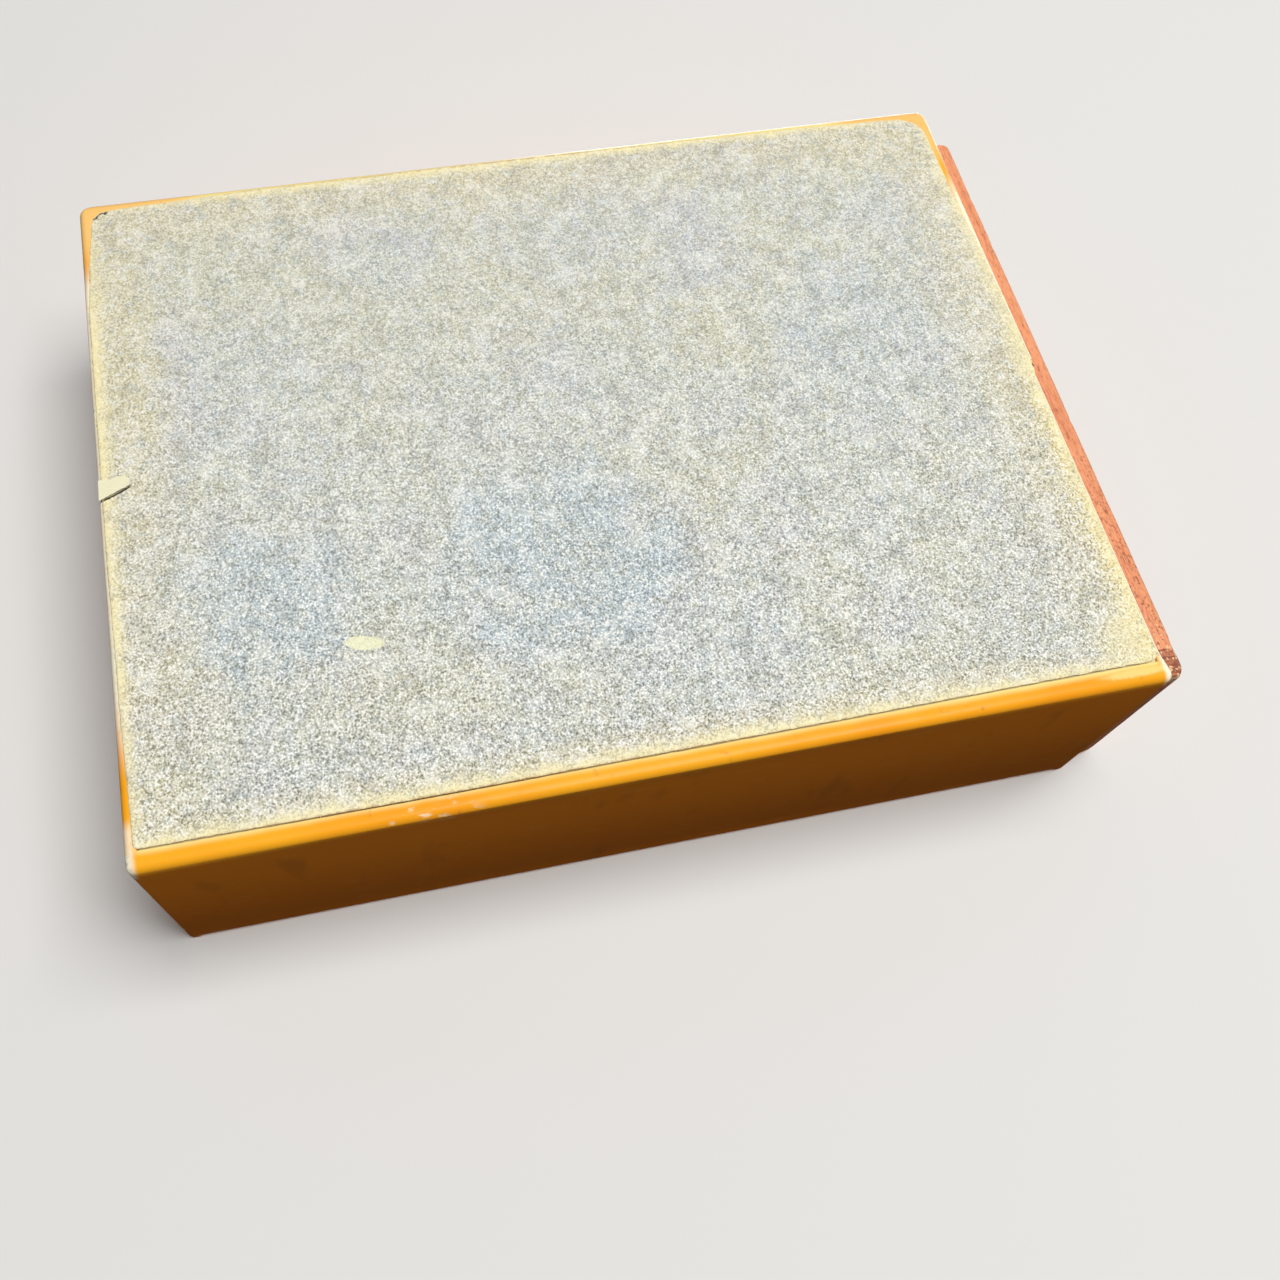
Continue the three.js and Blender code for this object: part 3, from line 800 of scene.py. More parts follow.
        # The slit lies under the torn flap's lower edge; its dark colour is the flap's painted shadow.
        slit = SLIT.beside(tree.x, tree.y) + 0.3 * (tree.cloud(0.8, 2.0) - 0.5)
        slit = abs(slit).mask(0.3, 0.08) * abs(tree.x).mask(*self.slit_middle)
        slit = slit * tree.y.mask(*self.slit_start) * tree.y.mask(*self.slit_end)
        crack = self.crack.beside(tree.x, tree.y) + 2.0 * (tree.cloud(1.2, 3.0) - 0.5)
        crack = abs(crack).mask(0.4, 0.1) * tree.y.mask(*self.crack_start)
        return slit.larger(crack * 0.95).larger(tree.blob(self.notch.centre, self.notch.reach))


@dataclass(frozen=True)
class Wood:
    """Wood with growth figure, open pores and darker end grain."""

    name: str
    light: Colour
    dark: Colour
    pore: Colour
    grain: Axis
    ring: float
    pores: float
    rough: float = 0.55
    end_stain: float = 0.0
    stain: Colour = paint(146, 82, 58)
    chip: Colour = paint(236, 196, 150)
    bow_middle: float = -86.5
    stained: Step = (5.0, 4.6)
    stained_top: Step = (10.0, 8.0)
    pitted: Step = (-5.0, 40.0)
    pitted_top: Step = (14.0, 10.0)
    chipped: Step = (1.9, 0.9)
    chipped_top: Step = (12.0, 8.5)
    specked: Step = (16.0, 5.0)
    specked_top: Step = (13.0, 10.5)

    def material(self) -> bpy.types.Material:
        """Builds the wood.

        Returns:
            The material.
        """
        tree = Shader(self.name)
        figure = self._along(tree, self.ring, 4.0, 14.0, bend=0.5)
        broad = self._along(tree, self.ring * 5, 2.0, 14.0, 5.0)
        pits = self._along(tree, 0.22, 2.0, 9.0, 7.0).mask(0.6, 0.7) * self.pores
        rub = self._along(tree, 0.34, 3.0, 5.0, 19.0)
        dents = tree.cloud(0.9, 3.0, shift=15.0).mask(0.66, 0.74)
        colour = tree.ramp(figure, [(0.3, self.dark), (0.5, self.light), (0.72, self.dark)])
        colour = tree.over(colour, (self.light, broad.mask(0.3, 0.7) * 0.5), (self.pore, pits),
                           (self.pore, dents * 0.6), (self.dark, rub.mask(0.5, 0.68) * 0.7),
                           (self.light, rub.mask(0.5, 0.32) * 0.5), (self.dark, self._facing(tree) * 0.35))
        if self.end_stain:
            colour = self._stained(tree, colour)
        normal = tree.relief((figure, 0.03), (1.0 - pits, 0.08), (1.0 - dents, 0.1))
        return tree.finish(colour, self.rough + 0.15 * broad + 0.2 * pits, normal, Specular_IOR_Level=0.35)

    def _along(self, tree: Shader, size: float, detail: float, times: float, shift: float = 0.0,
               bend: float = 0.0) -> Signal:
        """Returns noise with patches some times longer along the grain than across it.

        Args:
            tree: The material's tree.
            size: Size of its patches across the grain, in millimetres.
            detail: Number of finer layers.
            times: How many times longer they are.
            shift: Moves the pattern.
            bend: How far the patches are warped.

        Returns:
            The noise.
        """
        stretch = [1.0, 1.0, 1.0]
        stretch[self.grain.value] = times
        return tree.cloud(size, detail, stretch, shift, bend)

    def _facing(self, tree: Shader) -> Signal:
        """Returns where the surface faces along the grain.

        Args:
            tree: The material's tree.

        Returns:
            1 on end grain and 0 elsewhere.
        """
        normal = tree.add("ShaderNodeNewGeometry").outputs["Normal"]
        parts = tree.add("ShaderNodeSeparateXYZ", {}, {0: normal})
        return abs(Signal(tree, parts.outputs[self.grain.value])).mask(0.6, 0.9)

    @staticmethod
    def _near(beyond: Signal, reach: Step) -> Signal:
        """Returns a step between two distances before the stained end."""
        return beyond.mask(-reach[0], -reach[1])

    def _stained(self, tree: Shader, colour: Tint) -> Tint:
        """Darkens one end of a board, and gives its lower edge pits, chips and pale specks.

        Args:
            tree: The material's tree.
            colour: The colour so far.

        Returns:
            The stained colour.
        """
        beyond = tree.x - self.end_stain
        bow = tree.y - self.bow_middle
        ragged = beyond + (tree.cloud(1.6, 3.0, (1.0, 1.0, 2.5), 3.0) - 0.5) * 1.6 - bow * bow * 0.12
        dark = self._near(ragged, self.stained) * tree.z.mask(*self.stained_top)
        streak = tree.cloud(0.5, 3.0, (1.0, 8.0, 8.0), 3.0).mask(0.4, 0.6)
        pits = tree.cloud(0.7, 2.0, shift=52.0).mask(0.56, 0.64)
        pits = pits * tree.x.mask(*self.pitted) * tree.z.mask(*self.pitted_top)
        chips = tree.cloud(1.1, 3.0, shift=31.0).mask(0.5, 0.56) * tree.z.mask(*self.chipped_top)
        specks = tree.cloud(0.7, 1.0, shift=41.0).mask(0.6, 0.66) * tree.z.mask(*self.specked_top)
        pale = chips * self._near(beyond, self.chipped)
        pale = pale.larger(specks * self._near(beyond, self.specked))
        return tree.over(colour, (self.stain, dark * (0.6 + 0.6 * streak)), (self.pore, pits * 0.55),
                         (self.chip, pale))


@dataclass(frozen=True)
class Brass:
    """Aged brass with brushed lines and brown tarnish."""

    name: str
    metal: Colour = paint(196, 158, 88)
    tarnish: Colour = paint(104, 74, 40)
    aged: float = 0.5

    def material(self) -> bpy.types.Material:
        """Builds the brass.

        Returns:
            The material.
        """
        tree = Shader(self.name)
        spots = tree.cloud(1.8, 5.0).mask(0.45, 0.75) * self.aged
        lines = tree.cloud(0.12, 2.0, (30.0, 1.0, 1.0), 4.0)
        colour = tree.over(self.metal, (self.tarnish, spots))
        normal = tree.relief((lines, 0.004), (1.0 - spots, 0.01))
        return tree.finish(colour, 0.25 + 0.2 * lines + 0.35 * spots, normal, Metallic=0.8 - 0.5 * spots)


@dataclass(frozen=True)
class Card:
    """Cream card with short fibres and brown stains."""

    name: str = "cream_card"
    stock: Colour = paint(226, 208, 160)
    stain: Colour = paint(150, 118, 74)
    fibre: Colour = paint(244, 236, 208)

    def material(self) -> bpy.types.Material:
        """Builds the card.

        Returns:
            The material.
        """
        tree = Shader(self.name)
        fibres = tree.cloud(0.3, 3.0, (1.0, 4.0, 1.0))
        stains = tree.cloud(4.0, 5.0, shift=2.0).mask(0.55, 0.8)
        colour = tree.over(self.stock, (self.stain, stains * 0.5), (self.fibre, fibres.mask(0.55, 0.7) * 0.5))
        return tree.finish(colour, 0.85 + 0.1 * fibres, tree.relief((fibres, 0.04)))


# Meshes


def to_object(name: str, mesh: bpy.types.Mesh, material: bpy.types.Material,
              smooth: float = SHARP_ANGLE) -> bpy.types.Object:
    """Makes an object of a mesh.

    Args:
        name: Name of the object.
        mesh: Its mesh.
        material: Its finish.
        smooth: Angle in degrees up to which edges are shaded smooth.

    Returns:
        The object.
    """
    mesh.materials.clear()
    mesh.materials.append(material)
    mesh.shade_smooth()
    mesh.set_sharp_from_angle(angle=math.radians(smooth))
    piece = bpy.data.objects.new(name, mesh)
    bpy.context.scene.collection.objects.link(piece)
    return piece


def from_bmesh(name: str, shape: bmesh.types.BMesh, scale: float = MM) -> bpy.types.Mesh:
    """Turns a shape in millimetres into a mesh with outward faces.

    Args:
        name: Name of the mesh.
        shape: The shape, which is used up.
        scale: Size of its unit in metres.

    Returns:
        The mesh.
    """
    bmesh.ops.recalc_face_normals(shape, faces=shape.faces)
    bmesh.ops.scale(shape, vec=(scale,) * 3, verts=shape.verts)
    mesh = bpy.data.meshes.new(name)
    shape.to_mesh(mesh)
    shape.free()
    return mesh


def ring_mesh(name: str, rings: Sequence[Sequence[Vector]]) -> bpy.types.Mesh:
    """Joins closed rings of equally many points into a solid with two flat ends.

    Args:
        name: Name of the mesh.
        rings: The rings in order, in millimetres.

    Returns:
        The mesh.
    """
    shape = bmesh.new()
    rows = [[shape.verts.new(point) for point in ring] for ring in rings]
    count = len(rows[0])
    for first, second in zip(rows, rows[1:]):
        for index in range(count):
            after = (index + 1) % count
            shape.faces.new((first[index], first[after], second[after], second[index]))
    shape.faces.new(rows[0])
    shape.faces.new(rows[-1])
    bmesh.ops.remove_doubles(shape, verts=shape.verts, dist=TOUCHING)
    bmesh.ops.dissolve_degenerate(shape, edges=shape.edges, dist=SPECK)
    return from_bmesh(name, shape)


def eased_copy(node: str, width: float, material: bpy.types.Material) -> bpy.types.Object:
    """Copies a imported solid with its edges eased.

    Args:
        node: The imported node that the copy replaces.
        width: Width of the eased edges in millimetres.
        material: Its finish.

    Returns:
        The copy.
    """
    shape = bmesh.new()
    shape.from_mesh(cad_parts[node].data)
    bmesh.ops.remove_doubles(shape, verts=shape.verts, dist=SPECK * MM)
    bmesh.ops.dissolve_limit(shape, angle_limit=math.radians(1), verts=shape.verts, edges=shape.edges)
    piece = to_object(f"{node}_dressed", from_bmesh(node, shape, 1.0), material)
    bevel = piece.modifiers.new("eased edges", "BEVEL")
    bevel.width = width * MM
    bevel.segments = 2
    bevel.limit_method = "ANGLE"
    bevel.angle_limit = math.radians(SHARP_ANGLE)
    weighted = piece.modifiers.new("flat faces", "WEIGHTED_NORMAL")
    weighted.keep_sharp = True
    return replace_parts(piece, node)


def settle(piece: bpy.types.Object, body: Body) -> None:
    """Puts a piece on its body.

    Args:
        piece: The piece.
        body: The body it rides on.
    """
    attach(piece, body.value)
    LOG.info("%s rides on %s", piece.name, body.value)


class Scatter(NodeTree):
    """Geometry nodes that repeat a small pattern over a surface or over given points."""

    def __init__(self, name: str, numbers: Sequence[str]) -> None:
        """Starts a tree with its inputs.

        Args:
            name: Name of the tree.
            numbers: Names of its inputs that are plain numbers.
        """
        group = bpy.data.node_groups.new(name, "GeometryNodeTree")
        super().__init__(group)
        face = group.interface
        face.new_socket("Geometry", in_out="INPUT", socket_type="NodeSocketGeometry")
        for label in numbers:
            face.new_socket(label, in_out="INPUT", socket_type="NodeSocketFloat")
        face.new_socket("Seed", in_out="INPUT", socket_type="NodeSocketInt")
        face.new_socket("Pattern", in_out="INPUT", socket_type="NodeSocketObject")
        face.new_socket("Finish", in_out="INPUT", socket_type="NodeSocketMaterial")
        face.new_socket("Geometry", in_out="OUTPUT", socket_type="NodeSocketGeometry")
        self.given = self.add("NodeGroupInput").outputs

    def random(self, low: Value, high: Value, shift: int = 0) -> bpy.types.NodeSocket:
        """Returns a random number for each copy.

        Args:
            low: Smallest number.
            high: Largest number.
            shift: Sets apart the numbers that are drawn for one copy.

        Returns:
            The number.
        """
        seed = self.add("ShaderNodeMath", {"operation": "ADD"}, {0: self.given["Seed"], 1: float(shift)})
        inputs = {2: low, 3: high, "Seed": seed.outputs[0]}
        return self.add("FunctionNodeRandomValue", {"data_type": "FLOAT"}, inputs).outputs[1]

    def turned(self, start: bpy.types.NodeSocket, angles: Sequence[Value]) -> bpy.types.NodeSocket:
        """Returns a rotation turned about its own axes.

        Args:
            start: The rotation.
            angles: Angle about each of its axes.

        Returns:
            The turned rotation.
        """
        angle = self.add("ShaderNodeCombineXYZ", {}, dict(enumerate(angles))).outputs[0]
        turn = self.add("FunctionNodeEulerToRotation", {}, {0: angle}).outputs[0]
        settings = {"rotation_space": "LOCAL"}
        return self.add("FunctionNodeRotateRotation", settings, {0: start, 1: turn}).outputs[0]

    def repeat(self, points: bpy.types.NodeSocket, rotation: bpy.types.NodeSocket,
               size: bpy.types.NodeSocket | tuple) -> None:
        """Puts a copy of the pattern on each point and closes the tree.

        Args:
            points: The points.
            rotation: How each copy is turned.
            size: How large each copy is.
        """
        pattern = self.add("GeometryNodeObjectInfo", {}, {0: self.given["Pattern"]}).outputs["Geometry"]
        inputs = {"Points": points, "Instance": pattern, "Rotation": rotation, "Scale": size}
        copies = self.add("GeometryNodeInstanceOnPoints", {}, inputs).outputs[0]
        plain = self.add("GeometryNodeRealizeInstances", {}, {0: copies}).outputs[0]
        inputs = {"Geometry": plain, "Material": self.given["Finish"]}
        dressed = self.add("GeometryNodeSetMaterial", {}, inputs).outputs[0]
        self.add("NodeGroupOutput", {}, {0: dressed})

    def grown(self, name: str, host: bpy.types.Mesh, pattern: bpy.types.Mesh, finish: bpy.types.Material,
              values: dict[str, float]) -> bpy.types.Object:
        """Runs the tree on a mesh.

        Args:
            name: Name of the piece.
            host: The mesh that carries the copies.
            pattern: The mesh that is repeated.
            finish: Material of the copies.
            values: The tree's numbers by name.

        Returns:
            The copies as one plain piece.
        """
        carrier = bpy.data.objects.new(f"{name}_carrier", host)
        template = bpy.data.objects.new(f"{name}_pattern", pattern)
        for helper in (carrier, template):
            bpy.context.scene.collection.objects.link(helper)
        modifier = carrier.modifiers.new(name, "NODES")
        modifier.node_group = self.tree
        items = self.tree.interface.items_tree
        known = {item.name: item.identifier for item in items if item.in_out == "INPUT"}
        settings = {**values, "Seed": SEED, "Pattern": template, "Finish": finish}
        for label, value in settings.items():
            modifier[known[label]] = value
        seen = carrier.evaluated_get(bpy.context.evaluated_depsgraph_get())
        mesh = bpy.data.meshes.new_from_object(seen)
        mesh.name = name
        for helper in (carrier, template):
            bpy.data.objects.remove(helper)
        return to_object(name, mesh, finish)


def fibre_tree() -> Scatter:
    """Builds the tree that strews fibres over a surface.

    Returns:
        The tree.
    """
    tree = Scatter("strewn_fibres", ["Density", "Smallest", "Largest", "Tilt"])
    inputs = {"Mesh": tree.given["Geometry"], "Density": tree.given["Density"], "Seed": tree.given["Seed"]}
    where = tree.add("GeometryNodeDistributePointsOnFaces", {}, inputs).outputs
    lean = tree.random(0.0, tree.given["Tilt"], 1)
    rotation = tree.turned(where["Rotation"], (0.0, 0.0, tree.random(0.0, math.tau, 2)))
    rotation = tree.turned(rotation, (0.0, lean, 0.0))
    size = tree.random(tree.given["Smallest"], tree.given["Largest"], 3)
    tree.repeat(where["Points"], rotation, size)
    return tree


def fastener_tree() -> Scatter:
    """Builds the tree that sets fasteners on points, each turned by chance about its own line.

    Returns:
        The tree.
    """
    tree = Scatter("set_fasteners", ["Turn"])
    kind = {"data_type": "FLOAT_VECTOR"}
    facing = tree.add("GeometryNodeInputNamedAttribute", kind, {"Name": "facing"}).outputs[0]
    upright = tree.add("FunctionNodeAlignRotationToVector", {"axis": "Z"}, {"Vector": facing}).outputs[0]
    rotation = tree.turned(upright, (0.0, 0.0, tree.random(0.0, tree.given["Turn"])))
    points = tree.add("GeometryNodeMeshToPoints", {}, {0: tree.given["Geometry"]}).outputs[0]
    tree.repeat(points, rotation, (1.0, 1.0, 1.0))
    return tree


def lathe(name: str, profile: Sequence[Spot], sides: int, slot: Spot | None = None) -> bpy.types.Mesh:
    """Turns a profile about Z.

    Args:
        name: Name of the mesh.
        profile: Radius and level of each point, from the lowest to the highest, both ends on the line.
        sides: Number of facets.
        slot: Width and depth of a slot across the top, if it has one.

    Returns:
        The mesh.
    """
    shape = bmesh.new()
    angles = [math.tau * index / sides for index in range(sides)]
    rows = [[shape.verts.new((radius * math.cos(angle), radius * math.sin(angle), level)) for angle in angles]
            for radius, level in profile[1:-1]]
    foot, crown = (shape.verts.new((0, 0, profile[end][1])) for end in (0, -1))
    for index in range(sides):
        after = (index + 1) % sides
        shape.faces.new((foot, rows[0][after], rows[0][index]))
        shape.faces.new((crown, rows[-1][index], rows[-1][after]))
        for low, high in zip(rows, rows[1:]):
            shape.faces.new((low[index], low[after], high[after], high[index]))
    if slot:
        width, depth = slot
        for vert in shape.verts:
            if vert.co.z > profile[-1][1] - HAIR and abs(vert.co.y) < width / 2 + HAIR:
                vert.co.z -= depth
    return from_bmesh(name, shape)


# Base


@dataclass
class BaseOutline:
    """Where the felt ends along each edge of the base, as distances from the outer faces."""

    half_width: float
    half_length: float
    gap: float = 0.1
    lap: float = 0.5
    edges: dict[Edge, tuple[Spot, ...]] = field(default_factory=lambda: {
        Edge.LEFT: ((-83, 2.8), (-68, 2.2), (-55, 1.9), (0, 1.5), (50, 1.7), (70, 2.3), (83, 2.9)),
        Edge.RIGHT: ((-83, 3.6), (0, 3.3), (38, 3.2), (83, 3.4)),
        Edge.FRONT: ((-64, 1.8), (-48, 1.6), (-30, 0.9), (0, 0.7), (3, 1.3), (64, 1.35)),
        Edge.BACK: ((-64, 2.1), (-52, 1.2), (-40, 0.6), (8, 0.6), (36, 0.9), (64, 1.4)),
    })
    corners: dict[tuple[Edge, Edge], float] = field(default_factory=lambda: {
        (Edge.LEFT, Edge.FRONT): 4.8, (Edge.LEFT, Edge.BACK): 3.0,
        (Edge.RIGHT, Edge.FRONT): 1.8, (Edge.RIGHT, Edge.BACK): 0.8,
    })

    def distance(self, edge: Edge, place: float) -> float:
        """Returns the felt's distance from an outer face.

        Args:
            edge: The edge.
            place: Where along it, on the part's own axis.

        Returns:
            The distance in millimetres.
        """
        known = self.edges[edge]
        for (first, low), (second, high) in zip(known, known[1:]):
            if place <= second:
                return mix(low, high, eased((place - first) / (second - first)))
        return known[-1][1]

    def rounded(self, side: Edge, y: float, front: float, back: float) -> float:
        """Returns how far the felt's corners cut in from a long side.

        Args:
            side: The long side.
            y: Place along it.
            front: Where the felt begins.
            back: Where it ends.

        Returns:
            The cut in millimetres.
        """
        cut = 0.0
        for end, reach in ((Edge.FRONT, y - front), (Edge.BACK, back - y)):
            radius = self.corners[side, end]
            short = min(max(radius - reach, 0.0), radius)
            cut = max(cut, radius - math.sqrt(radius ** 2 - short ** 2))
        return cut

    def point(self, across: float, along: float) -> Spot:
        """Returns the place of two shares of the felt, from its left front corner.

        Args:
            across: Share of the width.
            along: Share of the length.

        Returns:
            The place in millimetres.
        """
        x = mix(-self.half_width, self.half_width, across)
        front = -self.half_length + self.distance(Edge.FRONT, x)
        back = self.half_length - self.distance(Edge.BACK, x)
        y = mix(front, back, along)
        left = -self.half_width + self.distance(Edge.LEFT, y) + self.rounded(Edge.LEFT, y, front, back)
        right = self.half_width - self.distance(Edge.RIGHT, y) - self.rounded(Edge.RIGHT, y, front, back)
        return mix(left, right, across), y


@dataclass
class Base:
    """The felt with its fibres and torn flap, and the card under it.

    A wave of the felt's face is a height, a size and a shift.
    """

    outline: BaseOutline
    felt_back: float
    felt: bpy.types.Material
    card: bpy.types.Material
    paper: bpy.types.Material
    card_ease: float = 0.1
    cell: float = 0.85
    skin: float = 0.13
    fray: float = 0.12
    fray_reach: float = 0.4
    fray_size: float = 0.7
    waves: tuple[tuple[float, float, float], ...] = ((0.06, 5.0, 0), (0.05, 1.3, 5), (0.04, 0.6, 9))
    edge_round: float = 0.22
    fibre_length: float = 0.8
    fibre_width: float = 0.1
    fibre_height: float = 0.04
    fibres_each_mm2: float = 1.3
    fibre_sizes: Step = (0.5, 1.3)
    tip_bend: Spot = (0.12, 0.01)
    waist_bend: tuple[float, float, float] = (0.1, 0.16, 0.02)
    fibre_tilt: float = -0.16
    border_shares: tuple[float, ...] = (0.0, 0.0012, 0.0035, 0.007)
    bare_depth: float = 0.22
    tear_depth: float = 0.35
    slit: tuple[float, float, float] = (79.3, 0.4, 2.4)
    torn_corner: tuple[Spot, Spot] = ((-60.2, 80.0), (1.3, 1.0))
    flap_along: Step = (82.3, 77.3)
    flap_root: Step = (-3.1, -3.9)
    flap_edge: Step = (1.05, -1.2)
    flap_steps: tuple[int, int] = (12, 6)
    flap_turn: float = 0.9
    flap_waves: tuple[float, float, float] = (0.15, 0.12, 0.06)
    flap_level: float = 0.14
    flap_drop: float = 0.36
    flap_thickness: float = 0.12

    def build(self) -> None:
        """Builds the base."""
        felt = self._felt()
        settle(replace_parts(to_object("felt_sheet", felt, self.felt, 60.0), "base_felt"), Body.BOX)
        self._fibres(felt)
        settle(eased_copy("base_card", self.card_ease, self.card), Body.BOX)
        settle(to_object("torn_flap", self._flap(), self.paper, 60.0), Body.BOX)

    def _shares(self, length: float) -> list[float]:
        """Lists the shares of the grid lines, closer together near the border."""
        ends = [share for edge in self.border_shares for share in (edge, 1 - edge)]
        return spaced(0.0, 1.0, self.cell / length, ends)

    def _level(self, x: float, y: float, inside: float) -> float:
        """Returns how far the felt's face lies above the ground.

        Args:
            x: Place across.
            y: Place along.
            inside: Distance to the nearest edge.

        Returns:
            The level in millimetres.
        """
        level = self.skin
        level += sum(height * ripple(x / size, y / size, shift) for height, size, shift in self.waves)
        level = mix(self.felt_back, level, eased(inside / self.edge_round))
        level += self.bare_depth * eased(1.6 - BARE.away(x, y) - 0.5 * ripple(x, y, 3))
        (slit_y, slit_width, slit_length), (corner, corner_reach) = self.slit, self.torn_corner
        slit = (SLIT.beside(x, y) / slit_width) ** 2 + ((y - slit_y) / slit_length) ** 2
        level += self.tear_depth * eased(1.3 - min(slit, Oval(corner, corner_reach).away(x, y)))
        return min(max(level, 0.01), self.felt_back - 0.02)

    def _felt(self) -> bpy.types.Mesh:
        """Builds the felt as a thin solid with an uneven face.

        Returns:
            The mesh.
        """
        width, length = 2 * self.outline.half_width, 2 * self.outline.half_length
        shape = bmesh.new()
        grid = []
        for along in self._shares(length):
            row = []
            for across in self._shares(width):
                x, y = self.outline.point(across, along)
                inside = min(min(across, 1 - across) * width, min(along, 1 - along) * length)
                loose = self.fray * (1 - eased(inside / self.fray_reach))
                x += loose * ripple(x / self.fray_size, y / self.fray_size, 1)
                y += loose * ripple(x / self.fray_size, y / self.fray_size, 2)
                row.append(shape.verts.new((x, y, self._level(x, y, inside))))
            grid.append(row)
        for low, high in zip(grid, grid[1:]):
            for index in range(len(low) - 1):
                shape.faces.new((low[index], low[index + 1], high[index + 1], high[index]))
        border = [*grid[0], *(row[-1] for row in grid[1:]), *reversed(grid[-1][:-1]),
                  *(row[0] for row in reversed(grid[1:-1]))]
        back = [shape.verts.new((vert.co.x, vert.co.y, self.felt_back)) for vert in border]
        for index, vert in enumerate(border):
            after = (index + 1) % len(border)
            shape.faces.new((vert, border[after], back[after], back[index]))
        shape.faces.new(back)
        return from_bmesh("felt_sheet", shape)

    def _flap(self) -> bpy.types.Mesh:
        """Builds the torn flap of backing that lifts off the base by the back seam.

        Returns:
            The mesh.
        """
        steps, across = self.flap_steps
        root_wave, edge_wave, face_wave = self.flap_waves
        rings = []
        for index in range(steps + 1):
            share = index / steps
            y = mix(*self.flap_along, share)
            root = mix(*self.flap_root, eased(share * 1.3)) + self.flap_turn * eased(share * 5 - 4)
            root += root_wave * ripple(share * 7)
            edge = mix(*self.flap_edge, share) + edge_wave * ripple(share * 9, 4)
            ring = []
            for part in (step / across for step in range(across + 1)):
                level = self.flap_level - self.flap_drop * eased(part)
                level -= face_wave * ripple(share * 3, part * 2)
                ring.append(Vector((mix(root, edge, part), y, level)))
            rings.append(ring + [point + Vector((0, 0, self.flap_thickness)) for point in reversed(ring)])
        return ring_mesh("torn_flap", rings)

    def _fibres(self, felt: bpy.types.Mesh) -> None:
        """Strews short fibres over the felt's face.

        Args:
            felt: The felt's mesh, which isn't changed.
        """
        shape = bmesh.new()
        shape.from_mesh(felt)
        hidden = [face for face in shape.faces if face.normal.z > -0.5 or len(face.verts) > 4]
        bmesh.ops.delete(shape, geom=hidden, context="FACES")
        host = bpy.data.meshes.new("felt_face")
        shape.to_mesh(host)
        shape.free()
        smallest, largest = self.fibre_sizes
        values = {"Density": self.fibres_each_mm2 / MM ** 2, "Smallest": smallest, "Largest": largest,
                  "Tilt": self.fibre_tilt}
        strewn = fibre_tree().grown("felt_fibres", host, self._fibre(), self.felt, values)
        settle(strewn, Body.BOX)

    def _fibre(self) -> bpy.types.Mesh:
        """Builds one bent fibre as a closed spindle along X.

        Returns:
            The mesh.
        """
        shape = bmesh.new()
        half = self.fibre_length / 2
        (tip_turn, tip_lift), (ahead, waist_turn, waist_lift) = self.tip_bend, self.waist_bend
        tips = [shape.verts.new((-half, 0, 0.0)), shape.verts.new((half, tip_turn * half, tip_lift))]
        angles = [math.tau * index / 3 for index in range(3)]
        waist = [shape.verts.new((ahead * half, waist_turn * half + self.fibre_width * math.cos(a) / 2,
                                  waist_lift + self.fibre_height * math.sin(a) / 2)) for a in angles]
        for index in range(3):
            after = (index + 1) % 3
            shape.faces.new((tips[0], waist[after], waist[index]))
            shape.faces.new((tips[1], waist[index], waist[after]))
        return from_bmesh("fibre", shape)


# Sheet metal


